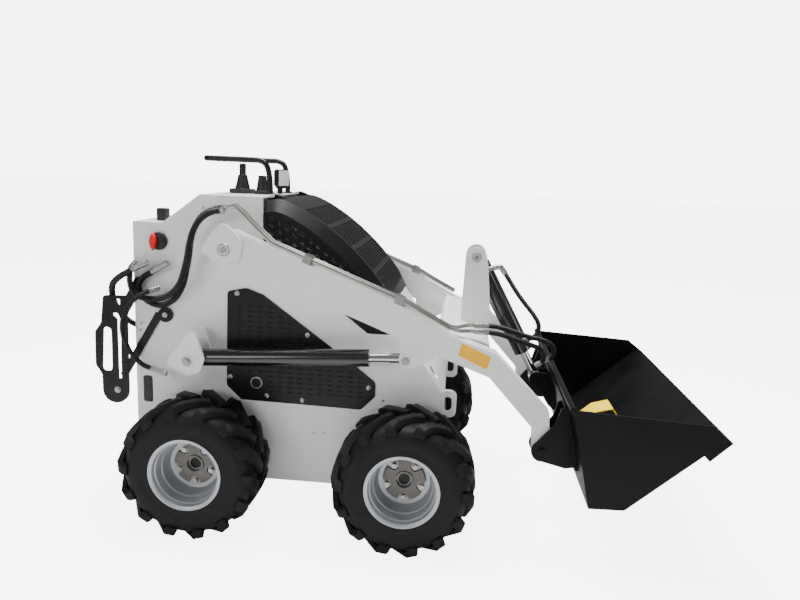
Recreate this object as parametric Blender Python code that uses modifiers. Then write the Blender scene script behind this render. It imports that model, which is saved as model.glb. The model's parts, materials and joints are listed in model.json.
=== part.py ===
"""Compact skid steer loader: four driven wheels, a two-arm lift frame with hydraulic cylinders,
a quick coupler with a bucket, a hinged engine hood and a stand-behind control console.

Everything is laid out in the machine's own frame: X forward from the rear axle, Y to the machine's
left, Z up from the ground, in metres. The last lines shift it all so that the world origin lies
under the middle of the whole machine.
"""
import math

import bmesh
import bpy
from mathutils import Matrix, Vector

# ---- driving dimensions ---------------------------------------------------------------------
GAP = 0.0003                # running gap that touching pieces keep

WHEELBASE = 0.705
TYRE_RADIUS = 0.2325
TYRE_WIDTH = 0.216
TYRE_OUTER_Y = 0.5325       # outer face of the tyres
RIM_RADIUS = 0.114          # rim flange
HUB_RECESS = 0.1035         # from the tyre's outer face to the hub disc
HUB_RADIUS = 0.062

BODY_HALF = 0.290           # outer face of the side plates
SIDE_T = 0.006              # side plate
SHEET_T = 0.004             # other sheet metal
BODY_BOTTOM = 0.130
BODY_REAR = -0.264
BODY_FRONT = 0.817
DECK_Z = 1.122              # top of the control deck
REAR_DECK_Z = 1.022         # top of the lower rear deck
DECK_FRONT = 0.186

HOOD_HALF = 0.2485          # half the width of the hood's top skin
HOOD_SHOULDER = 0.040       # height of the slanted shoulder between its top and its sides
HOOD_T = 0.004
HOOD_SEAM = 0.0025          # seam around the hood
HINGE_PIN_R = 0.0035
HINGE_RUN = 0.0003          # running clearance in the hood's hinges

ARM_Y = 0.368               # centre plane of each lift arm
ARM_WIDTH = 0.060
ARM_PIVOT = (0.096, 0.956)
ARM_PIN_R = 0.016
LIFT_BASE = (-0.030, 0.582)         # lift cylinder, lower pin
LIFT_ROD_END = (0.690, 0.626)       # lift cylinder, pin on the arm
LIFT_PIN_R = 0.0125
LIFT_BORE_R = 0.029
LIFT_BARREL = 0.600                 # base pin to gland
LIFT_ROD_R = 0.014
EYE_WIDTH = 0.034
COUPLER_PIN = (1.143, 0.355)
COUPLER_PIN_R = 0.0125

TOWER_PIN = (0.906, 0.932)          # tilt cylinder, upper pin
TOWER_INNER = 0.044                 # half the gap between the tower plates
TOWER_T = 0.012
TILT_ROD_END = (1.155, 0.485)       # tilt cylinder, pin on the coupler
TILT_BORE_R = 0.034
TILT_BARREL = 0.400
TILT_ROD_R = 0.0165

BUCKET_HALF = 0.5445
BUCKET_T = 0.008
BUCKET_SIDE_T = 0.010
HANDLE_R = 0.010
HANDLE_HALF = 0.125
HANDLE_Z = 1.243
HOSE_R = 0.0105             # over the spiral guard
THIN_HOSE_R = 0.009
TOOL_HOSE_R = 0.0075
PIPE_R = 0.008

SIDES = (("right", -1), ("left", 1))
AXLES = (("rear", 0.0), ("front", WHEELBASE))

for old in list(bpy.data.objects):
    bpy.data.objects.remove(old, do_unlink=True)

parts = bpy.data.collections.new("skid_steer_loader")
cutters = bpy.data.collections.new("cutters")
for collection in (parts, cutters):
    bpy.context.scene.collection.children.link(collection)


# ---- materials ------------------------------------------------------------------------------
def paint(name, colour, rough, metal=0.0):
    material = bpy.data.materials.new(name)
    material.use_nodes = True
    shader = material.node_tree.nodes["Principled BSDF"]
    shader.inputs["Base Color"].default_value = (*colour, 1)
    shader.inputs["Roughness"].default_value = rough
    shader.inputs["Metallic"].default_value = metal
    return material


FINISHES = {
    "white": ((0.83, 0.83, 0.82), 0.35, 0.0),
    "black": ((0.025, 0.025, 0.027), 0.42, 0.0),
    "rubber": ((0.018, 0.018, 0.019), 0.85, 0.0),
    "silver": ((0.56, 0.57, 0.58), 0.38, 0.7),
    "chrome": ((0.86, 0.87, 0.88), 0.1, 1.0),
    "steel": ((0.45, 0.45, 0.46), 0.45, 0.9),
    "red": ((0.62, 0.03, 0.02), 0.4, 0.0),
    "yellow": ((0.86, 0.56, 0.03), 0.5, 0.0),
}


# ---- making and joining shapes --------------------------------------------------------------
def linked(mesh, name, collection=cutters):
    obj = bpy.data.objects.new(name, mesh)
    collection.objects.link(obj)
    return obj


def as_mesh(obj, name="shape"):
    """The evaluated object as a plain mesh object, its caps welded; the original goes."""
    bpy.context.view_layer.update()
    evaluated = obj.evaluated_get(bpy.context.evaluated_depsgraph_get())
    mesh = bpy.data.meshes.new_from_object(evaluated)
    mesh.transform(obj.matrix_world)
    bpy.data.objects.remove(obj, do_unlink=True)
    bm = bmesh.new()
    bm.from_mesh(mesh)
    bmesh.ops.remove_doubles(bm, verts=bm.verts, dist=0.00002)
    bm.to_mesh(mesh)
    bm.free()
    return linked(mesh, name)


def box(x, y, z):
    """A block between the pairs x, y and z."""
    bm = bmesh.new()
    bmesh.ops.create_cube(bm, size=1.0)
    size = Vector((x[1] - x[0], y[1] - y[0], z[1] - z[0]))
    centre = Vector((x[0] + x[1], y[0] + y[1], z[0] + z[1])) / 2
    bmesh.ops.transform(bm, verts=bm.verts, matrix=Matrix.Translation(centre) @ Matrix.Diagonal((*size, 1)))
    mesh = bpy.data.meshes.new("box")
    bm.to_mesh(mesh)
    bm.free()
    return linked(mesh, "box")


def rod(start, end, radius, sides=16, radius_2=None):
    """A round bar, or a cone, from start to end."""
    start, end = Vector(start), Vector(end)
    along = end - start
    bm = bmesh.new()
    turn = along.to_track_quat("Z", "Y").to_matrix().to_4x4()
    bmesh.ops.create_cone(
        bm, cap_ends=True, segments=sides, radius1=radius,
        radius2=radius if radius_2 is None else radius_2, depth=along.length,
        matrix=Matrix.Translation((start + end) / 2) @ turn,
    )
    mesh = bpy.data.meshes.new("rod")
    bm.to_mesh(mesh)
    bm.free()
    return linked(mesh, "rod")


def arc(centre, radius, first, last, steps=8):
    """Points of an arc in degrees, counted from +X towards +Z."""
    angles = [math.radians(first + (last - first) * i / steps) for i in range(steps + 1)]
    return [(centre[0] + radius * math.cos(a), centre[1] + radius * math.sin(a)) for a in angles]


def circle(centre, radius, steps=16):
    return arc(centre, radius, 0, 360 * (1 - 1 / steps), steps - 1)


def rounded(corners, steps=4):
    """A closed outline from corners (a, b) or (a, b, radius), the radius as a fillet."""
    points = []
    count = len(corners)
    for i, corner in enumerate(corners):
        here = Vector(corner[:2])
        radius = corner[2] if len(corner) > 2 else 0
        if not radius:
            points.append(tuple(here))
            continue
        before = (Vector(corners[i - 1][:2]) - here).normalized()
        after = (Vector(corners[(i + 1) % count][:2]) - here).normalized()
        half = before.angle(after) / 2
        reach = radius / math.tan(half)
        middle = here + (before + after).normalized() * (radius / math.sin(half))
        first = here + before * reach - middle
        last = here + after * reach - middle
        sweep = math.atan2(first.x * last.y - first.y * last.x, first.dot(last))
        for k in range(steps + 1):
            spin = Matrix.Rotation(sweep * k / steps, 2)
            points.append(tuple(middle + spin @ first))
    return points


PLANES = {
    "xz": Matrix(((1, 0, 0, 0), (0, 0, -1, 0), (0, 1, 0, 0), (0, 0, 0, 1))),
    "yz": Matrix(((0, 0, 1, 0), (1, 0, 0, 0), (0, 1, 0, 0), (0, 0, 0, 1))),
    "xy": Matrix.Identity(4),
}


def plate(outline, low, high, holes=(), plane="xz"):
    """A flat plate: its outline and holes in a plane, between low and high across it."""
    curve = bpy.data.curves.new("plate", "CURVE")
    curve.dimensions = "2D"
    curve.fill_mode = "BOTH"
    curve.extrude = abs(high - low) / 2
    for loop in (outline, *holes):
        spline = curve.splines.new("POLY")
        spline.points.add(len(loop) - 1)
        for point, (a, b) in zip(spline.points, loop):
            point.co = (a, b, 0, 1)
        spline.use_cyclic_u = True
    obj = linked(curve, "plate")
    across = {"xz": Vector((0, 1, 0)), "yz": Vector((1, 0, 0)), "xy": Vector((0, 0, 1))}[plane]
    obj.matrix_world = Matrix.Translation(across * (low + high) / 2) @ PLANES[plane]
    return as_mesh(obj)


def strip(line, thickness):
    """The outline of a bent sheet: a line of points and its copy set off to the left by thickness."""
    points = [Vector(p) for p in line]
    offset = []
    for i, here in enumerate(points):
        before = (here - points[i - 1]).normalized() if i else (points[1] - here).normalized()
        after = (points[i + 1] - here).normalized() if i + 1 < len(points) else before
        normal = Vector((-(before + after).y, (before + after).x)).normalized()
        stretch = 1 / math.sqrt(max((1 + before.dot(after)) / 2, 0.1))
        offset.append(here + normal * thickness * stretch)
    return [tuple(p) for p in points] + [tuple(p) for p in reversed(offset)]


def tube(route, radius, sides=2, smooth=0):
    """A bent round bar along a route, smoothed through its points if smooth says how finely."""
    points = [Vector(p) for p in route]
    if smooth:
        ends = [points[0] * 2 - points[1], *points, points[-1] * 2 - points[-2]]
        fine = []
        for i in range(1, len(ends) - 2):
            a, b, c, d = ends[i - 1:i + 3]
            for k in range(smooth):
                t = k / smooth
                fine.append(0.5 * (2 * b + (c - a) * t + (2 * a - 5 * b + 4 * c - d) * t * t
                                   + (3 * b - a - 3 * c + d) * t ** 3))
        points = fine + [points[-1]]
    curve = bpy.data.curves.new("tube", "CURVE")
    curve.dimensions = "3D"
    curve.bevel_depth = radius
    curve.bevel_resolution = sides
    curve.use_fill_caps = True
    spline = curve.splines.new("POLY")
    spline.points.add(len(points) - 1)
    for point, place in zip(spline.points, points):
        point.co = (*place, 1)
    return as_mesh(linked(curve, "tube"))


def turned(profile, centre, sides=32, axis=(0, 1, 0)):
    """A closed profile of (radius, place along the axis) turned about the axis."""
    bm = bmesh.new()
    ring = [bm.verts.new((r, 0, s)) for r, s in profile]
    for a, b in zip(ring, ring[1:] + ring[:1]):
        bm.edges.new((a, b))
    mesh = bpy.data.meshes.new("turned")
    bm.to_mesh(mesh)
    bm.free()
    obj = linked(mesh, "turned")
    screw = obj.modifiers.new("turn", "SCREW")
    screw.steps = screw.render_steps = sides
    screw.use_merge_vertices = True
    screw.merge_threshold = 0.00001
    obj.matrix_world = Matrix.Translation(centre) @ Vector(axis).to_track_quat("Z", "Y").to_matrix().to_4x4()
    obj = as_mesh(obj)
    bm = bmesh.new()
    bm.from_mesh(obj.data)
    bmesh.ops.recalc_face_normals(bm, faces=bm.faces)
    bm.to_mesh(obj.data)
    bm.free()
    return obj


def combined(base, others, operation):
    for other in others:
        step = base.modifiers.new(operation.lower(), "BOOLEAN")
        step.operation = operation
        step.solver = "EXACT"
        step.object = other
    result = as_mesh(base)
    for other in others:
        bpy.data.objects.remove(other, do_unlink=True)
    return result


def union(base, *others):
    return combined(base, others, "UNION")


def cut(base, *others):
    return combined(base, others, "DIFFERENCE")


def mirrored(obj):
    """The same shape on the machine's other side."""
    obj.data.transform(Matrix.Diagonal((1, -1, 1, 1)))
    obj.data.flip_normals()
    return obj


def node(obj, name, finish, parent):
    """Names a finished piece, gives it its material and hangs it on its axis."""
    obj.name = obj.data.name = name
    obj.data.materials.clear()
    obj.data.materials.append(paint(name, *FINISHES[finish]))
    obj.data.shade_smooth()
    obj.data.set_sharp_from_angle(angle=math.radians(35))
    cutters.objects.unlink(obj)
    parts.objects.link(obj)
    obj.parent = parent
    obj.matrix_parent_inverse = parent.matrix_world.inverted()
    return obj


def pivot(name, place, parent=None):
    """An empty on a joint's axis, which carries the pieces that move with it."""
    empty = bpy.data.objects.new(name, None)
    parts.objects.link(empty)
    empty.parent = parent
    empty.location = Vector(place) - (parent.matrix_world.translation if parent else Vector())
    bpy.context.view_layer.update()
    return empty


def at(place, y):
    """A place (x, z) of a side view at y across the machine."""
    return (place[0], y, place[1])


def along(start, end, distance):
    """The point (x, z) at a distance from start towards end."""
    line = (Vector(end) - Vector(start)).normalized()
    return tuple(Vector(start) + line * distance)


machine = pivot("machine_origin", (0, 0, 0))
lift_axis = pivot("lift_axis", at(ARM_PIVOT, 0), machine)
barrel_axis = pivot("lift_cylinder_axis", at(LIFT_BASE, 0), machine)
tower_axis = pivot("tilt_cylinder_axis", at(TOWER_PIN, 0), lift_axis)
coupler_axis = pivot("coupler_axis", at(COUPLER_PIN, 0), lift_axis)
HOOD_HINGE = (DECK_FRONT + 0.010, DECK_Z + 0.002)
hood_axis = pivot("hood_axis", at(HOOD_HINGE, 0), machine)


# ---- wheels, and the motors that carry them ------------------------------------------------
AXLE_Z = TYRE_RADIUS
BEAD_R = RIM_RADIUS - 0.012
HUB_Y = TYRE_OUTER_Y - HUB_RECESS       # outer face of the hub disc
TYRE_INNER_Y = TYRE_OUTER_Y - TYRE_WIDTH


def tyre():
    edge, inner, shoulder = TYRE_OUTER_Y, TYRE_INNER_Y, 0.030
    crown = TYRE_RADIUS
    seat = BEAD_R + GAP
    lip = RIM_RADIUS + GAP
    rim_out, rim_in = edge - 0.012, inner + 0.012
    outer = [(lip, rim_out), (lip + 0.012, edge - 0.004), (crown - 0.075, edge),
             (crown - shoulder, edge - 0.006), (crown - 0.006, edge - shoulder * 0.8), (crown, edge - 0.06)]
    middle = (edge + inner) / 2
    inside = [(r, 2 * middle - s) for r, s in reversed(outer)]
    bead = [(lip, rim_in), (seat, rim_in + 0.012), (seat, rim_out - 0.012)]
    return turned(outer + inside + bead[1:], (0, 0, 0), 28)


def rim():
    """Flange, drop-centre barrel and hub disc of a pressed wheel."""
    out, inn = TYRE_OUTER_Y - 0.012, TYRE_INNER_Y + 0.012
    wall = 0.004
    flange_in = RIM_RADIUS - 0.001
    skin = [(flange_in, out - GAP), (flange_in - 0.004, out + 0.002), (BEAD_R - wall - 0.002, out - 0.014),
            (BEAD_R - wall - 0.004, HUB_Y), (0.0, HUB_Y), (0.0, HUB_Y - 0.008),
            (BEAD_R - wall - 0.004, HUB_Y - 0.008), (BEAD_R - wall - 0.004, inn + 0.012),
            (flange_in - 0.004, inn - 0.002), (flange_in, inn + GAP), (BEAD_R, inn + 0.012 + GAP),
            (BEAD_R, out - 0.012 - GAP)]
    disc = turned(skin, (0, 0, 0), 28)
    hub = rod((0, HUB_Y - 0.006, 0), (0, HUB_Y + 0.018, 0), 0.030, 16)
    return union(disc, hub)


def wheel_motor():
    """Flange bolted to the side plate, motor housing and shaft end behind the hub disc."""
    plate_face = BODY_HALF + GAP
    flange = rod((0, plate_face, 0), (0, plate_face + 0.012, 0), 0.075, 24)
    housing = rod((0, plate_face + 0.010, 0), (0, plate_face + 0.055, 0), 0.052, 24)
    shaft = rod((0, plate_face + 0.050, 0), (0, HUB_Y - 0.008 - GAP, 0), 0.036, 24)
    return union(flange, housing, shaft)


for end, x in AXLES:
    for side, sign in SIDES:
        axle = pivot(f"axle_{end}_{side}", (x, sign * TYRE_OUTER_Y, AXLE_Z), machine)
        for make, label, finish, parent in ((tyre, "tyre", "rubber", axle), (rim, "rim", "silver", axle),
                                            (wheel_motor, "wheel_motor", "steel", machine)):
            piece = make()
            if sign < 0:
                mirrored(piece)
            piece.data.transform(Matrix.Translation((x, 0, AXLE_Z)))
            node(piece, f"{label}_{end}_{side}", finish, parent)


# ---- body: side plates, floor, rear, front and deck ----------------------------------------
HOOD_LOW_REAR = (DECK_FRONT, 0.958)
HOOD_LOW_FRONT = (0.549, 0.680)
SLOPE_TOP = (0.676, 0.680)          # where the front slope meets the side plate's top edge
SLOPE_FOOT = (0.808, 0.494)
NOSE_TOP = (0.634, 0.762)           # top edge of the nose, under the hood's lip
DECK_SLOPE_FOOT = (-0.160, REAR_DECK_Z)
DECK_SLOPE_TOP = (-0.030, DECK_Z)
VENT_OUTLINE = [(0.066, 0.800, 0.012), (0.131, 0.815, 0.030), (0.190, 0.795, 0.010), (0.512, 0.566, 0.010),
                (0.583, 0.512, 0.020), (0.583, 0.462, 0.012), (0.535, 0.412, 0.015), (0.115, 0.420, 0.010),
                (0.063, 0.468, 0.015)]

side_outline = rounded([
    (BODY_REAR, 0.200, 0.010), (-0.200, BODY_BOTTOM, 0.010), (0.750, BODY_BOTTOM, 0.010),
    (BODY_FRONT, 0.200, 0.010), (BODY_FRONT, 0.480, 0.010), SLOPE_TOP, HOOD_LOW_FRONT, HOOD_LOW_REAR,
    (DECK_FRONT, DECK_Z), (*DECK_SLOPE_TOP, 0.030), (*DECK_SLOPE_FOOT, 0.020), (BODY_REAR, REAR_DECK_Z, 0.003),
])
REAR_SLOT = rounded([(-0.240, 0.385, 0.008), (-0.206, 0.385, 0.008), (-0.206, 0.482, 0.008),
                     (-0.240, 0.482, 0.008)])
for side, sign in SIDES:
    panel = plate(side_outline, -BODY_HALF, -BODY_HALF + SIDE_T, [REAR_SLOT])
    vent = plate(rounded(VENT_OUTLINE), -BODY_HALF - GAP - SHEET_T, -BODY_HALF - GAP)
    for piece, label, finish in ((panel, "side_plate", "white"), (vent, "vent_plate", "black")):
        node(mirrored(piece) if sign > 0 else piece, f"{label}_{side}", finish, machine)

INNER = BODY_HALF - SIDE_T - GAP        # half the width between the side plates
node(box((-0.200, 0.750), (-INNER, INNER), (BODY_BOTTOM, BODY_BOTTOM + SIDE_T)), "belly_plate", "white", machine)
node(box((BODY_REAR, BODY_REAR + SHEET_T), (-INNER, INNER), (0.210, REAR_DECK_Z - 0.008)), "rear_panel", "white",
     machine)

deck_line = [(BODY_REAR, REAR_DECK_Z - SHEET_T - GAP), (DECK_SLOPE_FOOT[0], REAR_DECK_Z - SHEET_T - GAP),
             (DECK_SLOPE_TOP[0], DECK_Z - SHEET_T - GAP), (DECK_FRONT, DECK_Z - SHEET_T - GAP)]
deck = plate(strip(deck_line, SHEET_T), -INNER, INNER)
LUG_R = 0.0065
lug_outline = [(DECK_FRONT - 0.020, DECK_Z - 0.0025), (DECK_FRONT - 0.0005, DECK_Z - 0.0025)] + arc(
    HOOD_HINGE, LUG_R, -60, 120, 6)
HINGE_Y, LEAF_HALF, LUG_HALF, LUG_T = 0.180, 0.018, 0.030, 0.008
hinges = []
for sign in (-1, 1):
    for low in (HINGE_Y - LUG_HALF, HINGE_Y + LUG_HALF - LUG_T):
        hinges.append(plate(lug_outline, *sorted((sign * low, sign * (low + LUG_T)))))
    ends = [sign * (HINGE_Y + reach) for reach in (-LUG_HALF + 0.001, LUG_HALF - 0.001)]
    hinges.append(rod(at(HOOD_HINGE, ends[0]), at(HOOD_HINGE, ends[1]), HINGE_PIN_R))
node(union(deck, *hinges), "control_deck", "white", machine)

front_line = [(BODY_FRONT - SIDE_T, 0.210), (BODY_FRONT - SIDE_T, 0.482), (SLOPE_TOP[0] - SIDE_T, SLOPE_TOP[1]),
              (NOSE_TOP[0] - SIDE_T, NOSE_TOP[1])]
front = plate(strip(front_line[::-1], SIDE_T), -INNER, INNER)
SKIRT_IN = BODY_HALF - 0.0065 - HOOD_T          # inner face of the hood's sides
corners = [plate([(s * 0.30, SLOPE_TOP[1] + 0.001), (s * (SKIRT_IN - 0.003), SLOPE_TOP[1] + 0.001),
                  (s * (SKIRT_IN - 0.003), 0.706), (s * (HOOD_HALF - 0.010), 0.748),
                  (s * (HOOD_HALF - 0.010), 0.79), (s * 0.30, 0.79)], 0.55, 0.72, plane="yz") for s in (-1, 1)]
front = cut(front, rod((BODY_FRONT - 0.08, -0.215, 0.540), (BODY_FRONT, -0.215, 0.540), 0.022), *corners)
loops = []
for sign in (-1, 1):
    loops.append(plate(rounded([(BODY_FRONT - 0.003, 0.392, 0.010), (0.862, 0.392, 0.022), (0.862, 0.488, 0.022),
                                (BODY_FRONT - 0.003, 0.488, 0.010)]),
                       sign * 0.245 - 0.008, sign * 0.245 + 0.008,
                       [rounded([(BODY_FRONT + 0.004, 0.412, 0.010), (0.846, 0.412, 0.014),
                                 (0.846, 0.466, 0.014), (BODY_FRONT + 0.004, 0.466, 0.010)])]))
node(union(front, *loops), "front_panel", "white", machine)

FLOOR_TOP = BODY_BOTTOM + SIDE_T + GAP
node(box((0.200, 0.600), (-0.190, 0.190), (FLOOR_TOP, 0.640)), "engine_block", "black", machine)


# ---- hood: a curved lid with slanted shoulders and straight sides, hinged at its top rear edge ----
HOOD_CURVE = [(0.1885, 1.1105), (0.225, 1.1155), (0.262, 1.108), (0.318, 1.082), (0.390, 1.037), (0.456, 0.985),
              (0.512, 0.933), (0.560, 0.880), (0.597, 0.832), (0.631, 0.770)]
HOOD_SIDE = BODY_HALF - 0.0065                  # outer face of the hood's sides
SKIRT_LINE = [(DECK_FRONT + HOOD_SEAM, HOOD_LOW_REAR[1] + 0.003), (HOOD_LOW_FRONT[0], HOOD_LOW_FRONT[1] + 0.003),
              (SLOPE_TOP[0] - 0.010, HOOD_LOW_FRONT[1] + 0.003)]


def hood_shell():
    """Skin as an open surface: each station runs from one bottom edge over the top to the other."""
    curve = [Vector(p) for p in HOOD_CURVE]
    lowers = [Vector(SKIRT_LINE[0]).lerp(Vector(SKIRT_LINE[1]), i / 6) for i in range(7)]
    lowers += [Vector(SKIRT_LINE[1]).lerp(Vector(SKIRT_LINE[2]), i / 3) for i in range(1, 4)]
    bm = bmesh.new()
    rows = []
    for i, (top, low) in enumerate(zip(curve, lowers)):
        run = (curve[min(i + 1, 9)] - curve[max(i - 1, 0)]).normalized()
        shoulder = top + Vector((run.y, -run.x)) * HOOD_SHOULDER
        if i == 0:
            shoulder = Vector((top.x, top.y - HOOD_SHOULDER))
        if i == 9:
            shoulder = top.lerp(low, HOOD_SHOULDER / (low - top).length)
        half = [(HOOD_SIDE, low), (HOOD_SIDE, shoulder), (HOOD_HALF, top)]
        ring = [(-y, p) for y, p in half] + [(y, p) for y, p in reversed(half)]
        rows.append([bm.verts.new((p.x, y, p.y)) for y, p in ring])
    for a, b in zip(rows, rows[1:]):
        for k in range(5):
            bm.faces.new((a[k], a[k + 1], b[k + 1], b[k]))
    bmesh.ops.recalc_face_normals(bm, faces=bm.faces)
    mesh = bpy.data.meshes.new("hood_skin")
    bm.to_mesh(mesh)
    bm.free()
    skin = linked(mesh, "hood_skin")
    if sum(face.normal.z for face in skin.data.polygons) < 0:
        skin.data.flip_normals()
    wall = skin.modifiers.new("wall", "SOLIDIFY")
    wall.thickness = HOOD_T
    wall.offset = -1
    wall.use_even_offset = True
    return as_mesh(skin)


leaf_outline = [(0.1925, 1.108), (0.235, 1.1115), (0.235, 1.1175), (0.204, HOOD_HINGE[1] + 0.0045),
                (0.192, HOOD_HINGE[1] + 0.0045)]
leaves = []
for sign in (-1, 1):
    near, far = sorted((sign * (HINGE_Y - LEAF_HALF), sign * (HINGE_Y + LEAF_HALF)))
    leaf = union(plate(leaf_outline, near, far), rod(at(HOOD_HINGE, near), at(HOOD_HINGE, far), LUG_R))
    leaves.append(cut(leaf, rod(at(HOOD_HINGE, near - 0.01), at(HOOD_HINGE, far + 0.01), HINGE_PIN_R + HINGE_RUN)))
node(union(hood_shell(), *leaves), "hood", "black", hood_axis)


# ---- brackets that hold the lift arms and the lift cylinders -------------------------------
ARM_OUT, ARM_IN = ARM_Y + ARM_WIDTH / 2, ARM_Y - ARM_WIDTH / 2
BRACKET_T = 0.012


def pivot_bracket():
    out = ARM_OUT + 0.001
    cheek = plate(rounded([(0.014, 0.951, 0.012), (0.086, 1.052, 0.026), (0.152, 0.990, 0.030), (0.146, 0.915, 0.030),
                           (0.088, 0.900, 0.020)]), out, out + BRACKET_T)
    web = box((0.020, 0.034), (BODY_HALF + GAP, out + 0.004), (0.936, 0.968))
    pin = rod(at(ARM_PIVOT, BODY_HALF + GAP), at(ARM_PIVOT, out + BRACKET_T + 0.010), ARM_PIN_R)
    boss = rod(at(ARM_PIVOT, BODY_HALF + GAP), at(ARM_PIVOT, ARM_IN - 0.001), 0.034)
    head = rod(at(ARM_PIVOT, out + BRACKET_T - 0.002), at(ARM_PIVOT, out + BRACKET_T + 0.008), 0.024)
    return union(cheek, web, boss, pin, head)


def cylinder_bracket():
    out = ARM_Y + LIFT_BORE_R + 0.004
    inn = ARM_Y - LIFT_BORE_R - 0.004
    outline = rounded([(-0.106, 0.568, 0.014), (-0.012, 0.700, 0.018), (0.026, 0.590, 0.022), (0.012, 0.545, 0.020),
                       (-0.035, 0.530, 0.015)])
    cheek = plate(outline, out, out + BRACKET_T)
    inner_cheek = plate(outline, inn - BRACKET_T, inn)
    web = box((-0.086, -0.066), (BODY_HALF + GAP, out + 0.004), (0.560, 0.600))
    pin = rod(at(LIFT_BASE, BODY_HALF + GAP), at(LIFT_BASE, out + BRACKET_T + 0.008), LIFT_PIN_R)
    head = rod(at(LIFT_BASE, out + BRACKET_T - 0.002), at(LIFT_BASE, out + BRACKET_T + 0.006), 0.020)
    boss = rod(at(LIFT_BASE, BODY_HALF + GAP), at(LIFT_BASE, inn + 0.002), 0.024)
    return union(cheek, inner_cheek, web, boss, pin, head)


# ---- lift arms, cross member and tower -----------------------------------------------------
def lift_arm():
    low, high = ARM_IN, ARM_OUT
    outline = arc(ARM_PIVOT, 0.050, 290, 130, 8) + [
        (0.112, 1.0170), (0.680, 0.798), (0.730, 0.767), (0.826, 0.716), (0.979, 0.665), (1.160, 0.481)]
    outline += arc(COUPLER_PIN, 0.032, 40, -150, 8) + [(1.111, 0.424), (0.960, 0.587), (0.770, 0.655),
                                                      (0.640, 0.708), (0.470, 0.773), (0.175, 0.899)]
    holes = [circle(ARM_PIVOT, ARM_PIN_R + GAP, 20), circle(COUPLER_PIN, COUPLER_PIN_R + GAP)]
    beam = plate(outline, low, high, holes)
    ear = rounded([(0.668, 0.712), (0.672, 0.600, 0.024), (0.700, 0.596, 0.020), (0.790, 0.640, 0.010), (0.760, 0.690)])
    cheek_t = (ARM_WIDTH - EYE_WIDTH) / 2 - 0.002
    ears = [plate(ear, low + 0.001, low + cheek_t), plate(ear, high - cheek_t, high - 0.001)]
    heads = [rod(at(LIFT_ROD_END, high - 0.002), at(LIFT_ROD_END, high + 0.008), 0.019),
             rod(at(LIFT_ROD_END, low - 0.006), at(LIFT_ROD_END, low + 0.002), 0.019)]
    return union(beam, *ears, *heads)


def lift_barrel():
    """Base eye, tube with a bore open at the gland, and gland collar."""
    gland = along(LIFT_BASE, LIFT_ROD_END, LIFT_BARREL)
    bore_from = along(LIFT_BASE, LIFT_ROD_END, 0.060)
    past = along(LIFT_BASE, LIFT_ROD_END, LIFT_BARREL + 0.01)
    neck = along(LIFT_BASE, LIFT_ROD_END, 0.018)
    eye = rod(at(LIFT_BASE, ARM_Y - LIFT_BORE_R + 0.001), at(LIFT_BASE, ARM_Y + LIFT_BORE_R - 0.001), 0.028)
    body = rod(at(neck, ARM_Y), at(gland, ARM_Y), LIFT_BORE_R, 24)
    barrel = union(body, eye)
    hole = rod(at(LIFT_BASE, ARM_Y - 0.05), at(LIFT_BASE, ARM_Y + 0.05), LIFT_PIN_R + GAP)
    return cut(barrel, rod(at(bore_from, ARM_Y), at(past, ARM_Y), LIFT_ROD_R + 0.0006), hole)


def lift_rod():
    start = along(LIFT_BASE, LIFT_ROD_END, 0.100)
    shaft = rod(at(start, ARM_Y), at(LIFT_ROD_END, ARM_Y), LIFT_ROD_R)
    clevis = rod(at(along(LIFT_BASE, LIFT_ROD_END, 0.665), ARM_Y), at(LIFT_ROD_END, ARM_Y), 0.0165)
    eye = rod(at(LIFT_ROD_END, ARM_Y - EYE_WIDTH / 2), at(LIFT_ROD_END, ARM_Y + EYE_WIDTH / 2), 0.024)
    return union(shaft, clevis, eye)


for side, sign in SIDES:
    for make, label, finish, parent in (
            (pivot_bracket, "arm_pivot_bracket", "white", machine),
            (cylinder_bracket, "lift_cylinder_bracket", "white", machine),
            (lift_arm, "lift_arm", "white", lift_axis),
            (lift_barrel, "lift_barrel", "black", barrel_axis),
            (lift_rod, "lift_rod", "chrome", barrel_axis)):
        piece = make()
        node(mirrored(piece) if sign < 0 else piece, f"{label}_{side}", finish, parent)

cross = plate(rounded([(0.800, 0.722, 0.01), (0.965, 0.664, 0.01), (0.945, 0.604, 0.01), (0.780, 0.664, 0.01)]),
              -ARM_IN + GAP, ARM_IN - GAP)
tower_outline = [(0.855, 0.680), (0.861, 0.700), (0.868, 0.936)] + arc(TOWER_PIN, 0.037, 170, 10, 8) + [
    (0.950, 0.900), (0.968, 0.720), (0.975, 0.650)]
towers = [plate(tower_outline, y, y + TOWER_T) for y in (TOWER_INNER, -TOWER_INNER - TOWER_T)]
TOWER_OUT = TOWER_INNER + TOWER_T
tower_pin = rod(at(TOWER_PIN, -TOWER_OUT - 0.006), at(TOWER_PIN, TOWER_OUT + 0.006), LIFT_PIN_R)
node(union(cross, *towers, tower_pin), "cross_member", "white", lift_axis)


# ---- tilt cylinder -------------------------------------------------------------------------
def tilt_barrel():
    gland = along(TOWER_PIN, TILT_ROD_END, TILT_BARREL)
    body = rod(at(along(TOWER_PIN, TILT_ROD_END, 0.034), 0), at(gland, 0), TILT_BORE_R, 24)
    eye = rod(at(TOWER_PIN, -0.030), at(TOWER_PIN, 0.030), 0.030)
    link = box((0, 0.05), (-0.02, 0.02), (-0.02, 0.02))
    link.data.transform(Matrix.Translation(at(TOWER_PIN, 0)) @ Matrix.Rotation(
        math.atan2(TOWER_PIN[1] - TILT_ROD_END[1], TILT_ROD_END[0] - TOWER_PIN[0]), 4, "Y"))
    barrel = union(body, link, eye)
    past = along(TOWER_PIN, TILT_ROD_END, TILT_BARREL + 0.01)
    return cut(barrel,
               rod(at(along(TOWER_PIN, TILT_ROD_END, 0.056), 0), at(past, 0), TILT_ROD_R + 0.0006),
               rod(at(TOWER_PIN, -0.05), at(TOWER_PIN, 0.05), LIFT_PIN_R + GAP))


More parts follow.
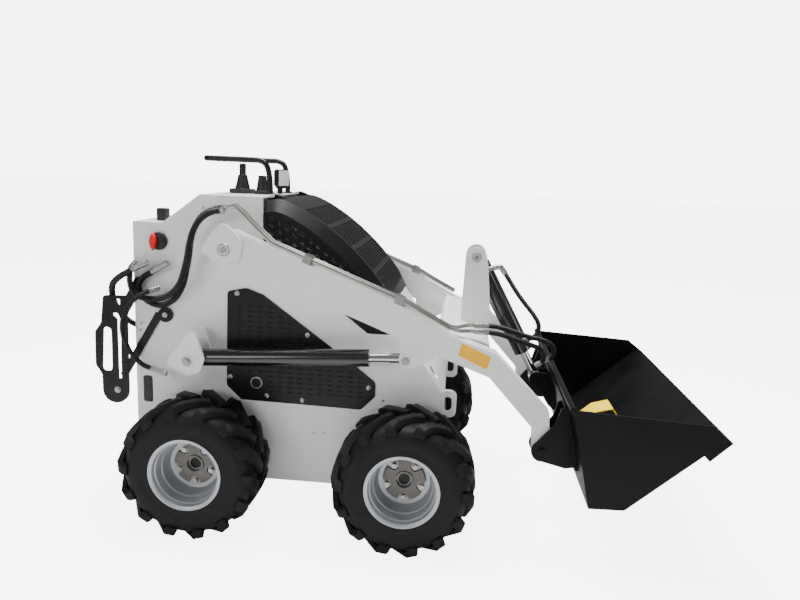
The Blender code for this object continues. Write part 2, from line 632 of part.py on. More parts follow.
TILT_EYE = 0.024        # half the rod eye's width
node(tilt_barrel(), "tilt_barrel", "black", tower_axis)
tilt_shaft = rod(at(along(TOWER_PIN, TILT_ROD_END, 0.070), 0), at(TILT_ROD_END, 0), TILT_ROD_R)
tilt_eye = rod(at(TILT_ROD_END, -TILT_EYE), at(TILT_ROD_END, TILT_EYE), 0.026)
node(union(tilt_shaft, tilt_eye), "tilt_rod", "chrome", tower_axis)


# ---- bucket and the coupler that carries it -------------------------------------------------
BACK_TOP = (1.209, 0.545)
BACK_FOOT = (1.278, 0.236)
HEEL = (1.386, 0.239)
EDGE_REAR = (1.602, 0.434)
EDGE_FOOT = (1.617, 0.415)
TIP = (1.679, 0.478)
SIDE_TOP = (1.615, 0.526)

shell = plate([BACK_TOP, BACK_FOOT, HEEL, EDGE_REAR, EDGE_FOOT, TIP, SIDE_TOP], -BUCKET_HALF, BUCKET_HALF)
floor_end = along(HEEL, EDGE_REAR, 0.60)
inner_line = strip([BACK_TOP, BACK_FOOT, HEEL, floor_end], BUCKET_T)[:3:-1]
inner = [(1.19, 0.90), along(inner_line[1], inner_line[0], 0.50), *inner_line[1:], (1.90, 0.90)]
hollow = plate(inner, -BUCKET_HALF + BUCKET_SIDE_T, BUCKET_HALF - BUCKET_SIDE_T)
lip = rod(at(BACK_TOP, -BUCKET_HALF + 0.001), at(BACK_TOP, BUCKET_HALF - 0.001), 0.010)
node(union(cut(shell, hollow), lip), "bucket", "black", coupler_axis)

back = Vector(BACK_FOOT) - Vector(BACK_TOP)
down = back.normalized()
rearward = Vector((down.y, -down.x))


def on_back(drop, depth):
    """A place (x, z) at drop below the bucket's top rear edge, depth behind its back."""
    return tuple(Vector(BACK_TOP) + down * drop + rearward * depth)


COUPLER_HALF = ARM_OUT + 0.017
coupler = plate([on_back(0.020, GAP), on_back(0.250, GAP), on_back(0.250, 0.012), on_back(0.020, 0.012)],
                -COUPLER_HALF, COUPLER_HALF)
ear_outline = [on_back(0.035, 0.005), on_back(0.240, 0.005), on_back(0.238, 0.042)] + arc(
    COUPLER_PIN, 0.034, -85, -205, 8) + [on_back(0.085, 0.048), on_back(0.040, 0.024)]
pieces = []
for sign in (-1, 1):
    for low in (ARM_OUT + 0.002, ARM_IN - 0.014):
        y = sorted((sign * low, sign * (low + 0.012)))
        pieces.append(plate(ear_outline, *y))
    ends = sorted((sign * (ARM_IN - 0.008), sign * (ARM_OUT + 0.022)))
    pieces.append(rod(at(COUPLER_PIN, ends[0]), at(COUPLER_PIN, ends[1]), COUPLER_PIN_R))
    y = sorted((sign * (TILT_EYE + 0.002), sign * (TILT_EYE + 0.014)))
    pieces.append(plate([on_back(0.062, 0.007), on_back(0.190, 0.007), on_back(0.150, 0.040)]
                        + arc(TILT_ROD_END, 0.028, -80, -250, 8) + [(1.196, 0.512)], *y))
node(union(coupler, *pieces), "coupler", "black", coupler_axis)

# a yellow bent bracket inside the bucket, close to its right side
BRACKET_Y = (-0.420, -0.330)
inner_back = strip([BACK_TOP, BACK_FOOT], BUCKET_T + GAP)[3:1:-1]
bent = strip([(1.388, 0.470), (1.352, 0.520), (1.300, 0.505), along(inner_back[0], inner_back[1], 0.100),
              along(inner_back[1], inner_back[0], 0.050)], 0.005)
piece = cut(plate(bent, *BRACKET_Y), box((1.340, 1.400), (-0.395, -0.355), (0.470, 0.506)))
node(piece, "bucket_bracket", "yellow", coupler_axis)


# ---- rear guards, handle bar, controls, light and switch -----------------------------------
GUARD_T = 0.008
guard_outline = rounded([
    (-0.374, 0.762, 0.012), (-0.384, 0.665, 0.020), (-0.407, 0.632, 0.020), (-0.409, 0.512, 0.020),
    (-0.386, 0.478, 0.020), (-0.386, 0.376, 0.046), (-0.290, 0.376, 0.046), (-0.289, 0.700, 0.030),
    (-0.258, 0.752, 0.012), (-0.238, 0.760, 0.010), (-0.236, 0.832, 0.010), (-0.256, 0.832, 0.010),
    (-0.292, 0.764, 0.012)])
grip_hole = rounded([(-0.386, 0.492, 0.013), (-0.348, 0.490, 0.017), (-0.347, 0.650, 0.016), (-0.377, 0.650, 0.012)])
j_slot = [(-0.341, 0.701), (-0.322, 0.703), (-0.312, 0.676), (-0.315, 0.466), (-0.327, 0.466), (-0.327, 0.680),
          (-0.341, 0.692)]
corner_hole = [(-0.343, 0.753), (-0.313, 0.751), (-0.314, 0.726)]
GUARD_BOLT, STAY_BOSS = (-0.331, 0.425), (-0.152, 0.706)
for side, sign in SIDES:
    low, high = -BODY_HALF - GAP - GUARD_T, -BODY_HALF - GAP
    guard = plate(guard_outline, low, high, [grip_hole, j_slot, corner_hole])
    stay = plate(strip([(-0.298, 0.470), (-0.164, 0.700)], 0.026), low + 0.001, high - 0.001)
    boss = rod(at(STAY_BOSS, low - 0.002), at(STAY_BOSS, high), 0.026, 20)
    piece = union(guard, stay, boss)
    node(mirrored(piece) if sign > 0 else piece, f"rear_guard_{side}", "black", machine)

DECK_TOP = DECK_Z + GAP
leg_x, bend_x, rear_x = 0.165, 0.130, -0.075
bar_route = []
for sign in (-1, 1):
    leg = [(leg_x, sign * HANDLE_HALF, DECK_TOP + 0.003), (bend_x + 0.012, sign * HANDLE_HALF, HANDLE_Z - 0.028),
           (bend_x, sign * HANDLE_HALF, HANDLE_Z - 0.008), (bend_x - 0.020, sign * HANDLE_HALF, HANDLE_Z),
           (rear_x + 0.030, sign * HANDLE_HALF, HANDLE_Z), (rear_x + 0.008, sign * (HANDLE_HALF - 0.008), HANDLE_Z),
           (rear_x, sign * (HANDLE_HALF - 0.030), HANDLE_Z)]
    bar_route += leg if sign < 0 else leg[::-1]
bar = tube(bar_route, HANDLE_R, 3)
feet = [box((leg_x - 0.022, leg_x + 0.018), (s * HANDLE_HALF - 0.02, s * HANDLE_HALF + 0.02),
            (DECK_TOP, DECK_TOP + 0.006)) for s in (-1, 1)]
node(union(bar, *feet), "handle_bar", "black", machine)

LEVER = (0.045, -0.060)
base = box((LEVER[0] - 0.040, LEVER[0] + 0.040), (LEVER[1] - 0.03, LEVER[1] + 0.03), (DECK_TOP, DECK_TOP + 0.016))
boot = rod((*LEVER, DECK_TOP + 0.012), (*LEVER, DECK_TOP + 0.066), 0.028, 16, 0.016)
stem = rod((*LEVER, DECK_TOP + 0.050), (*LEVER, DECK_TOP + 0.106), 0.012, 16)
node(union(base, boot, stem), "drive_lever", "black", machine)
KNOB = (0.118, -0.060)
base = box((KNOB[0] - 0.024, KNOB[0] + 0.024), (KNOB[1] - 0.024, KNOB[1] + 0.024), (DECK_TOP, DECK_TOP + 0.012))
boot = rod((*KNOB, DECK_TOP + 0.010), (*KNOB, DECK_TOP + 0.066), 0.022, 16, 0.014)
node(union(base, boot), "tool_lever", "black", machine)

LIGHT_X = 0.152
lamp = box((LIGHT_X, LIGHT_X + 0.045), (-0.032, 0.032), (DECK_Z + 0.020, DECK_Z + 0.092))
stand = box((LIGHT_X + 0.008, LIGHT_X + 0.030), (-0.018, 0.018), (DECK_TOP, DECK_Z + 0.030))
node(union(lamp, stand), "work_light", "black", machine)

SWITCH = (-0.172, 0.959)
disc = rod(at(SWITCH, -BODY_HALF - GAP), at(SWITCH, -BODY_HALF - 0.016), 0.030, 24)
key = box((SWITCH[0] - 0.040, SWITCH[0] + 0.010), (-BODY_HALF - 0.036, -BODY_HALF - 0.014),
          (SWITCH[1] - 0.008, SWITCH[1] + 0.008))
node(union(disc, key), "battery_switch", "red", machine)
CAP = (-0.195, -0.200)
node(rod((*CAP, REAR_DECK_Z + GAP), (*CAP, REAR_DECK_Z + 0.042), 0.022, 20), "filler_cap", "black", machine)


# ---- hydraulic pipes along the arms, and hoses ----------------------------------------------
def on_arm(start, end, share, lift):
    """A place (x, z) a share of the way along an arm's top edge, lifted off it."""
    line = Vector(end) - Vector(start)
    normal = Vector((-line.y, line.x)).normalized()
    return tuple(Vector(start) + line * share + normal * lift)


ARM_TOP = (0.112, 1.017), (0.680, 0.798)
PIPE_LIFT = PIPE_R + 0.006
pipe_side = [(0.098, 1.088), (0.120, 1.094), (0.142, 1.076), (0.178, 1.040), on_arm(*ARM_TOP, 0.22, PIPE_LIFT),
             on_arm(*ARM_TOP, 0.5, PIPE_LIFT), on_arm(*ARM_TOP, 1.0, PIPE_LIFT), (0.742, 0.779), (0.830, 0.734)]
clamps = [on_arm(*ARM_TOP, share, 0) for share in (0.43, 0.96)]
for side, sign in SIDES:
    runs = [tube([at(p, ARM_Y + shift) for p in pipe_side], PIPE_R) for shift in (-0.014, 0.014)]
    blocks = []
    for x, z in clamps:
        block = box((-0.014, 0.014), (-0.028, 0.028), (GAP, PIPE_LIFT + PIPE_R + 0.003))
        slope = math.atan2(ARM_TOP[0][1] - ARM_TOP[1][1], ARM_TOP[1][0] - ARM_TOP[0][0])
        block.data.transform(Matrix.Translation((x, ARM_Y, z)) @ Matrix.Rotation(slope, 4, "Y"))
        blocks.append(block)
    piece = union(blocks[0], *runs, blocks[1])
    node(mirrored(piece) if sign < 0 else piece, f"arm_pipes_{side}", "steel", lift_axis)

PORT_Y = BODY_HALF + GAP
FITTING_WALL = 0.0012       # how far a fitting stands proud of its hose


def hose(route, radius, start_fitting=0.0, end_fitting=0.0, port=None):
    """A hose along a route, with plain fittings of the given lengths and a port into the side plate."""
    line = tube(route, radius, 2, 2)
    extras = []
    for first, second, length in ((route[0], route[1], start_fitting), (route[-1], route[-2], end_fitting)):
        if length:
            out = (Vector(first) - Vector(second)).normalized()
            extras.append(rod(Vector(first) - out * 0.004, Vector(first) + out * length, radius + FITTING_WALL, 12))
    if port:
        extras.append(rod((port[0], -PORT_Y, port[1]), (port[0], route[-1][1] - 0.006, port[1]), 0.013, 12))
    return union(line, *extras) if extras else line


ARM_HOSE = [(0.085, -0.354, 1.086), (0.042, -0.354, 1.079), (0.003, -0.352, 1.057), (-0.023, -0.350, 1.019),
            (-0.038, -0.347, 0.976), (-0.047, -0.342, 0.923), (-0.058, -0.336, 0.880), (-0.069, -0.330, 0.837),
            (-0.089, -0.324, 0.794), (-0.118, -0.318, 0.761), (-0.162, -0.313, 0.742), (-0.204, -0.311, 0.752),
            (-0.228, -0.311, 0.776), (-0.238, -0.311, 0.806), (-0.222, -0.311, 0.834), (-0.190, -0.312, 0.855)]
RETURN_HOSE = [(0.085, -0.382, 1.080), (0.040, -0.382, 1.070), (0.006, -0.380, 1.046), (-0.018, -0.378, 1.010),
               (-0.033, -0.375, 0.966), (-0.043, -0.371, 0.920), (-0.056, -0.366, 0.874), (-0.075, -0.358, 0.828),
               (-0.108, -0.347, 0.792), (-0.152, -0.337, 0.771), (-0.196, -0.334, 0.766), (-0.232, -0.334, 0.776),
               (-0.258, -0.324, 0.800), (-0.268, -0.314, 0.832), (-0.264, -0.311, 0.862), (-0.244, -0.309, 0.886)]
SUPPLY_HOSE = [(-0.196, -0.322, 0.891), (-0.236, -0.333, 0.871), (-0.282, -0.333, 0.844), (-0.322, -0.314, 0.816),
               (-0.347, -0.284, 0.786), (-0.356, -0.260, 0.744), (-0.347, -0.241, 0.698), (-0.318, -0.228, 0.662),
               (-0.286, -0.222, 0.644), (-0.269, -0.220, 0.640)]
LIFT_HOSE = [(-0.160, -0.324, 0.805), (-0.192, -0.350, 0.793), (-0.226, -0.362, 0.772), (-0.258, -0.356, 0.742),
             (-0.280, -0.344, 0.700), (-0.290, -0.334, 0.650), (-0.278, -0.330, 0.600), (-0.254, -0.332, 0.562),
             (-0.220, -0.336, 0.536), (-0.176, -0.342, 0.522), (-0.128, -0.350, 0.512)]
ARM_PORT, RETURN_PORT, SUPPLY_PORT, LIFT_PORT = (-0.134, 0.889), (-0.241, 0.890), (-0.138, 0.922), (-0.128, 0.812)
for side, sign in SIDES:
    arm_hose = hose(ARM_HOSE, HOSE_R, 0.010, 0.066, ARM_PORT)
    return_hose = hose(RETURN_HOSE, HOSE_R, 0.010, 0.0, RETURN_PORT)
    supply_hose = hose(SUPPLY_HOSE[::-1], HOSE_R, 0.0, 0.060, SUPPLY_PORT)
    lift_hose = hose(LIFT_HOSE[::-1], THIN_HOSE_R, 0.060, 0.036, LIFT_PORT)
    for piece, label in ((arm_hose, "arm_hose"), (return_hose, "return_hose"), (supply_hose, "supply_hose"),
                         (lift_hose, "lift_hose")):
        node(mirrored(piece) if sign > 0 else piece, f"{label}_{side}", "rubber", machine)

TOOL_HOSE = [(0.905, -0.286, 0.731), (0.940, -0.276, 0.730), (0.980, -0.252, 0.723), (1.028, -0.222, 0.707),
             (1.081, -0.190, 0.685), (1.130, -0.165, 0.670), (1.168, -0.142, 0.655), (1.192, -0.124, 0.634),
             (1.198, -0.112, 0.608), (1.188, -0.100, 0.585), (1.164, -0.086, 0.570)]
TOOL_RETURN_HOSE = [(0.905, -0.306, 0.716), (0.945, -0.298, 0.713), (0.997, -0.262, 0.700), (1.050, -0.222, 0.676),
                    (1.098, -0.188, 0.655), (1.140, -0.160, 0.634), (1.160, -0.140, 0.606), (1.158, -0.124, 0.578),
                    (1.138, -0.108, 0.560)]
TILT_HOSE = [(1.006, -0.030, 0.884), (1.026, -0.034, 0.856), (1.050, -0.040, 0.821), (1.072, -0.045, 0.792),
             (1.096, -0.050, 0.764), (1.122, -0.056, 0.734), (1.142, -0.060, 0.702), (1.142, -0.062, 0.672),
             (1.124, -0.062, 0.648), (1.096, -0.062, 0.640)]
for route, label, radius, first, last in (
        (TOOL_HOSE, "tool_hose", TOOL_HOSE_R, 0.050, 0.030),
        (TOOL_RETURN_HOSE, "tool_return_hose", TOOL_HOSE_R, 0.050, 0.030),
        (TILT_HOSE, "tilt_hose", THIN_HOSE_R, 0.014, 0.0)):
    node(hose(route, radius, first, last), label, "rubber", lift_axis)

bounds = [obj.matrix_world @ Vector(c) for obj in parts.objects if obj.type == "MESH" for c in obj.bound_box]
machine.location.x = -(min(c.x for c in bounds) + max(c.x for c in bounds)) / 2
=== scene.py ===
"""Looks of the compact skid steer loader: its finishes, tyres, rims, perforated covers, hoses and
small fittings, laid over the fixed mechanical model. Metres throughout. The mechanical layout
counts X forward from the rear axle, so every section places its pieces from that axle.
"""

import json
import math

import bmesh
import bpy
from mathutils import Matrix, Vector
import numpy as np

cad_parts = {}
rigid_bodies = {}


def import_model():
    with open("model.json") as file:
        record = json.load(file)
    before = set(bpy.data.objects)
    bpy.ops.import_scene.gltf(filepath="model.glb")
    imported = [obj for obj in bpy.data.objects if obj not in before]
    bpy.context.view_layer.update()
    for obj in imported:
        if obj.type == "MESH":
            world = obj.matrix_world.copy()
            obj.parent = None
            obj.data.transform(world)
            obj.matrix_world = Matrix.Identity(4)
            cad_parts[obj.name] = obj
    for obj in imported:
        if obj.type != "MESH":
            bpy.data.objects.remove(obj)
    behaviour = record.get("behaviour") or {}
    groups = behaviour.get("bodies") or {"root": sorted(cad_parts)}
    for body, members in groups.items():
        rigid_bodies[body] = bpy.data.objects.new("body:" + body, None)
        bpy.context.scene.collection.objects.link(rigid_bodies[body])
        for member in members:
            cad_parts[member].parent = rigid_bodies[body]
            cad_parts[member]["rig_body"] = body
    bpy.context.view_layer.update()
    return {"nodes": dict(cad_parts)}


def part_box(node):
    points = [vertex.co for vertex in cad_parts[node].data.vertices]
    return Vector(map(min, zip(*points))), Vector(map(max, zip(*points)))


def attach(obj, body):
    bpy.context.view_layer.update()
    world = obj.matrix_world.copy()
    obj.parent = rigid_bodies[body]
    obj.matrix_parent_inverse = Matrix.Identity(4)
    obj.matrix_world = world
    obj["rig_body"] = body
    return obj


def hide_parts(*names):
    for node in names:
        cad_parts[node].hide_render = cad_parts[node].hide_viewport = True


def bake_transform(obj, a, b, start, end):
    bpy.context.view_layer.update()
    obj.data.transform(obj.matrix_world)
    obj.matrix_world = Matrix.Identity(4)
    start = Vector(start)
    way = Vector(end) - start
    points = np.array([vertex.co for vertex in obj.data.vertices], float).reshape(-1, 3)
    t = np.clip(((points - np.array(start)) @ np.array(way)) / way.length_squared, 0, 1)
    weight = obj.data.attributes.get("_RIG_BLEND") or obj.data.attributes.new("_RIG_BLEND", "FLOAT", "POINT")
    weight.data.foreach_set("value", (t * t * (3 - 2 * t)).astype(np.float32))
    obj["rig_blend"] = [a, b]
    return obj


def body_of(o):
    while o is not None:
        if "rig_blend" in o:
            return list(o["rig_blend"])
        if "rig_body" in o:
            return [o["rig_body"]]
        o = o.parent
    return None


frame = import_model()

# ---- viewpoint, floor and soft light -----------------------------------------------------------
# A low standing view of the machine's right side, on a plain pale studio floor that meets a plain
# white surround, lit by one broad light overhead and a weaker one from the viewer's side.
rear_axle = sum(corner.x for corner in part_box("tyre_rear_right")) / 2
yaw, pitch, roll = 0.0822, 0.184, -0.0423          # radians; pitch looks down
eye = (0.8425, -2.5701, 1.2289)                    # from the rear axle, the middle and the floor
focal_length = 31.41855                            # millimetres, on a sensor 36 mm wide
forward = Vector((-math.sin(yaw) * math.cos(pitch), math.cos(yaw) * math.cos(pitch), -math.sin(pitch)))
level = Vector((math.cos(yaw), math.sin(yaw), 0.0))
down = forward.cross(level)
across = math.cos(roll) * level + math.sin(roll) * down
downward = -math.sin(roll) * level + math.cos(roll) * down
viewer = bpy.data.objects.new("viewer", bpy.data.cameras.new("viewer"))
bpy.context.collection.objects.link(viewer)
viewer.data.sensor_width = 36.0
viewer.data.lens = focal_length
viewer.matrix_world = Matrix.Translation((rear_axle + eye[0], *eye[1:])) @ Matrix(
    (across, -downward, -forward)).transposed().to_4x4()
bpy.context.scene.camera = viewer


def soft_light(name, place, target, size, power):
    """A square studio light that shines from a place at a target."""
    lamp = bpy.data.lights.new(name, "AREA")
    lamp.size, lamp.energy = size, power
    holder = bpy.data.objects.new(name, lamp)
    holder.location = place
    holder.rotation_euler = (Vector(target) - Vector(place)).to_track_quat("-Z", "Y").to_euler()
    bpy.context.collection.objects.link(holder)


soft_light("overhead", (-0.3, 0.2, 4.0), (0.0, -0.1, 0.3), 1.9, 330.0)
soft_light("viewer_side", (-2.6, -4.2, 2.2), (0.0, 0.0, 0.5), 2.0, 62.0)
soft_light("front_side", (4.2, -1.2, 2.0), (0.2, 0.0, 0.5), 1.6, 36.0)
surround = bpy.data.worlds.new("surround")
bpy.context.scene.world = surround
surround.use_nodes = True
surround.node_tree.nodes["Background"].inputs["Color"].default_value = (0.96, 0.96, 0.97, 1.0)
# The surround and the floor look brighter than the light that they throw on the machine.
seen_directly = surround.node_tree.nodes.new("ShaderNodeLightPath")
brightness = surround.node_tree.nodes.new("ShaderNodeMapRange")
brightness.inputs["To Min"].default_value, brightness.inputs["To Max"].default_value = 0.30, 6.9
surround.node_tree.links.new(seen_directly.outputs["Is Camera Ray"], brightness.inputs["Value"])
surround.node_tree.links.new(brightness.outputs[0], surround.node_tree.nodes["Background"].inputs["Strength"])
floor_mesh = bpy.data.meshes.new("floor")
floor_mesh.from_pydata([(-40, -40, 0), (40, -40, 0), (40, 40, 0), (-40, 40, 0)], [], [(0, 1, 2, 3)])
floor = bpy.data.objects.new("floor", floor_mesh)
bpy.context.collection.objects.link(floor)
floor_paint = bpy.data.materials.new("studio_floor")
floor_paint.use_nodes = True
floor_shader = floor_paint.node_tree.nodes["Principled BSDF"]
floor_shader.inputs["Base Color"].default_value = (0.93, 0.93, 0.94, 1.0)
floor_shader.inputs["Roughness"].default_value = 0.75
floor_shader.inputs["Specular IOR Level"].default_value = 0.15
floor_shader.inputs["Emission Color"].default_value = (0.96, 0.96, 0.97, 1.0)
floor_seen = floor_paint.node_tree.nodes.new("ShaderNodeLightPath")
floor_glow = floor_paint.node_tree.nodes.new("ShaderNodeMath")
floor_glow.operation = "MULTIPLY"
floor_glow.inputs[1].default_value = 6.0
floor_paint.node_tree.links.new(floor_seen.outputs["Is Camera Ray"], floor_glow.inputs[0])
floor_paint.node_tree.links.new(floor_glow.outputs[0], floor_shader.inputs["Emission Strength"])
floor_mesh.materials.append(floor_paint)


# ---- side plates and floor plate ---------------------------------------------------------------
# Welded steel plate, painted off-white with a slight orange peel. Dust settles low on the sides and
# hands leave faint mottling. Plate edges are dressed to a small radius.
def sockets(tree, way, kind, *names):
    """Adds sockets of one kind to a tree of nodes, with a default value where a name has one."""
    for name in names:
        name, value = name if isinstance(name, tuple) else (name, None)
        socket = tree.interface.new_socket(name, in_out=way, socket_type="NodeSocket" + kind)
        if value is not None:
            socket.default_value = value


def linker(tree):
    """A short way to link two nodes of a tree: the first and its output, the second and its input."""
    return lambda start, output, end, entry: tree.links.new(start.outputs[output], end.inputs[entry])


def surface_group():
    """Shader group: a finish with mottling, fine grain, settled dust and a varying gloss."""
    group = bpy.data.node_groups.new("worn_finish", "ShaderNodeTree")
    sockets(group, "INPUT", "Color", ("Finish", (0.8, 0.8, 0.8, 1)), ("Dust", (0.3, 0.28, 0.25, 1)))
    sockets(group, "INPUT", "Float", ("Dust Amount", 0.2), ("Dust Height", 0.4), ("Mottle", 0.05),
            ("Mottle Scale", 9.0), ("Gloss Low", 0.3), ("Gloss High", 0.5), ("Grain Scale", 900.0),
            ("Grain Depth", 0.0001))
    sockets(group, "OUTPUT", "Color", "Colour")
    sockets(group, "OUTPUT", "Float", "Roughness")
    sockets(group, "OUTPUT", "Vector", "Normal")
    new, link = group.nodes.new, linker(group)
    given, result, where = new("NodeGroupInput"), new("NodeGroupOutput"), new("ShaderNodeTexCoord")
    cloud, grain, split = new("ShaderNodeTexNoise"), new("ShaderNodeTexNoise"), new("ShaderNodeSeparateXYZ")
    cloud.inputs["Detail"].default_value = 5.0
    grain.inputs["Detail"].default_value = 3.0
    link(where, "Object", cloud, "Vector")
    link(given, "Mottle Scale", cloud, "Scale")
    link(where, "Object", grain, "Vector")
    link(given, "Grain Scale", grain, "Scale")
    link(where, "Object", split, 0)
    swing = new("ShaderNodeMapRange")
    swing.inputs["From Min"].default_value, swing.inputs["From Max"].default_value = 0.3, 0.7
    swing.inputs["To Min"].default_value, swing.inputs["To Max"].default_value = -1.0, 1.0
    link(cloud, "Fac", swing, "Value")
    amount, bright = new("ShaderNodeMath"), new("ShaderNodeMath")
    amount.operation, bright.operation = "MULTIPLY", "ADD"
    link(swing, 0, amount, 0)
    link(given, "Mottle", amount, 1)
    link(amount, 0, bright, 0)
    bright.inputs[1].default_value = 1.0
    shaded = new("ShaderNodeVectorMath")
    shaded.operation = "SCALE"
    link(given, "Finish", shaded, 0)
    link(bright, 0, shaded, "Scale")
    low = new("ShaderNodeMapRange")
    low.inputs["To Min"].default_value, low.inputs["To Max"].default_value = 1.0, 0.0
    link(split, "Z", low, "Value")
    link(given, "Dust Height", low, "From Max")
    patch, dusty, mix = new("ShaderNodeMath"), new("ShaderNodeMath"), new("ShaderNodeMix")
    patch.operation = dusty.operation = "MULTIPLY"
    mix.data_type = "RGBA"
    link(low, 0, patch, 0)
    link(cloud, "Fac", patch, 1)
    link(patch, 0, dusty, 0)
    link(given, "Dust Amount", dusty, 1)
    link(dusty, 0, mix, "Factor")
    link(shaded, 0, mix, 6)
    link(given, "Dust", mix, 7)
    link(mix, 2, result, "Colour")
    gloss = new("ShaderNodeMapRange")
    link(cloud, "Fac", gloss, "Value")
    link(given, "Gloss Low", gloss, "To Min")
    link(given, "Gloss High", gloss, "To Max")
    link(gloss, 0, result, "Roughness")
    bump = new("ShaderNodeBump")
    bump.inputs["Strength"].default_value = 0.6
    link(given, "Grain Depth", bump, "Distance")
    link(grain, "Fac", bump, "Height")
    link(bump, 0, result, "Normal")
    return group


worn_finish = surface_group()


def finish(name, colour, gloss, grain, mottle=0.05, metal=0.0, coat=0.0, dust=(0.25, 0.4), specular=0.5):
    """A procedural material on the shared group: gloss is a (low, high) roughness, grain a (scale,
    depth) and dust an (amount, height above the floor)."""
    material = bpy.data.materials.new(name)
    material.use_nodes = True
    tree = material.node_tree
    shader = tree.nodes["Principled BSDF"]
    group = tree.nodes.new("ShaderNodeGroup")
    group.node_tree = worn_finish
    values = {"Finish": (*colour, 1.0), "Gloss Low": gloss[0], "Gloss High": gloss[1], "Mottle": mottle,
              "Grain Scale": grain[0], "Grain Depth": grain[1], "Dust Amount": dust[0], "Dust Height": dust[1]}
    for key, value in values.items():
        group.inputs[key].default_value = value
    shader.inputs["Metallic"].default_value = metal
    shader.inputs["Coat Weight"].default_value = coat
    shader.inputs["Specular IOR Level"].default_value = specular
    shader.inputs["Coat Roughness"].default_value = 0.12
    for output, entry in (("Colour", "Base Color"), ("Roughness", "Roughness"), ("Normal", "Normal")):
        tree.links.new(group.outputs[output], shader.inputs[entry])
    return material


def fit(piece, material, slot, *stands_for, body=None):
    """Finishes a piece: its material, the body it moves with, and the plain nodes it stands for. The slot is not
    used.
    """
    piece.data.materials.clear()
    piece.data.materials.append(material)
    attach(piece, body or body_of(frame["nodes"][stands_for[0]])[0])
    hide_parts(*stands_for)
    return piece


def as_object(name, mesh):
    """An object for a mesh, linked to the scene."""
    piece = bpy.data.objects.new(name, mesh)
    bpy.context.collection.objects.link(piece)
    return piece


def applied(piece):
    """The piece with its modifiers made part of its mesh."""
    bpy.context.view_layer.update()
    ready = bpy.data.meshes.new_from_object(piece.evaluated_get(bpy.context.evaluated_depsgraph_get()))
    piece.modifiers.clear()
    piece.data = ready
    return piece


def dressed(name, node, radius=0.0015, angle=28.0):
    """A copy of a plain node with its edges dressed to a small radius."""
    mesh = frame["nodes"][node].data.copy()
    mesh.materials.clear()
    work = bmesh.new()
    work.from_mesh(mesh)
    bmesh.ops.remove_doubles(work, verts=work.verts, dist=1e-6)
    bmesh.ops.dissolve_limit(work, angle_limit=math.radians(1.0), verts=work.verts, edges=work.edges)
    work.to_mesh(mesh)
    work.free()
    for attribute in ("custom_normal", "sharp_edge", "sharp_face"):
        if attribute in mesh.attributes:
            mesh.attributes.remove(mesh.attributes[attribute])
    mesh.polygons.foreach_set("use_smooth", [True] * len(mesh.polygons))
    mesh.update()
    piece = as_object(name, mesh)
    bevel = piece.modifiers.new("dressed", "BEVEL")
    bevel.width, bevel.segments, bevel.limit_method = radius, 2, "ANGLE"
    bevel.angle_limit = math.radians(angle)
    bevel.harden_normals = True
    bevel.use_clamp_overlap = True
    return applied(piece)


def shell(name, node, material, slot, *dressing):
    """Shows a plain node as a copy with dressed edges, in its finish."""
    return fit(dressed(name, node, *dressing), material, slot, node)


white_paint = finish("white_paint", (0.83, 0.83, 0.815), (0.28, 0.42), (420.0, 0.00006), 0.025,
                     coat=0.25, dust=(0.35, 0.45))
black_paint = finish("black_paint", (0.0065, 0.0068, 0.0078), (0.26, 0.40), (900.0, 0.00012), 0.25,
                     coat=0.0, dust=(0.02, 0.5), specular=0.25)
for side in ("right", "left"):
    shell(f"side_plate_shell_{side}", f"side_plate_{side}", white_paint, "white_paint")
shell("floor_plate", "belly_plate", white_paint, "white_paint")
shell("rear_plate", "rear_panel", white_paint, "white_paint")
shell("deck_shell", "control_deck", white_paint, "white_paint")
shell("nose_shell", "front_panel", white_paint, "white_paint")
shell("engine_shell", "engine_block", black_paint, "black_paint", 0.006)

# ---- wheel motors ------------------------------------------------------------------------------
# Black painted cast housings bolted to the inside of the side plates, behind each wheel.
for place in ("rear_right", "rear_left", "front_right", "front_left"):
    shell(f"motor_housing_{place}", f"wheel_motor_{place}", black_paint, "black_paint")


# ---- tyres -------------------------------------------------------------------------------------
# Moulded rubber: a smooth carcass with two rows of fourteen bent lugs that run from the middle of
# the tread over the shoulder, the rows half a pitch apart. Both rows lead the same way.
def rings_of_faces(rings, count):
    """The faces between closed rings of count points each, the last ring joined to the first."""
    return [(k * count + i, k * count + (i + 1) % count, (k + 1) % rings * count + (i + 1) % count,
             (k + 1) % rings * count + i) for k in range(rings) for i in range(count)]


def tidy_mesh(mesh, smooth=35.0):
    """Merges doubles, turns every face outwards and shades all but the sharp edges smoothly."""
    work = bmesh.new()
    work.from_mesh(mesh)
    bmesh.ops.remove_doubles(work, verts=work.verts, dist=1e-6)
    bmesh.ops.dissolve_degenerate(work, dist=1e-7, edges=work.edges)
    bmesh.ops.recalc_face_normals(work, faces=work.faces)
    for edge in work.edges:
        edge.smooth = len(edge.link_faces) == 2 and edge.calc_face_angle(0.0) < math.radians(smooth)
    for face in work.faces:
        face.smooth = True
    work.to_mesh(mesh)
    work.free()
    mesh.update()
    return mesh


def made_mesh(name, shape, smooth):
    """A tidy mesh from a shape being worked on."""
    mesh = bpy.data.meshes.new(name)
    shape.to_mesh(mesh)
    shape.free()
    return tidy_mesh(mesh, smooth)


def turned(name, profile, steps=96, smooth=35.0):
    """A closed ring turned about Y at the origin from a profile of (radius, depth), depth along +Y."""
    mesh = bpy.data.meshes.new(name)
    points = []
    for k in range(steps):
        turn = math.tau * k / steps
        points += [(radius * math.sin(turn), y, radius * math.cos(turn)) for radius, y in profile]
    mesh.from_pydata(points, [], rings_of_faces(steps, len(profile)))
    return tidy_mesh(mesh, smooth)


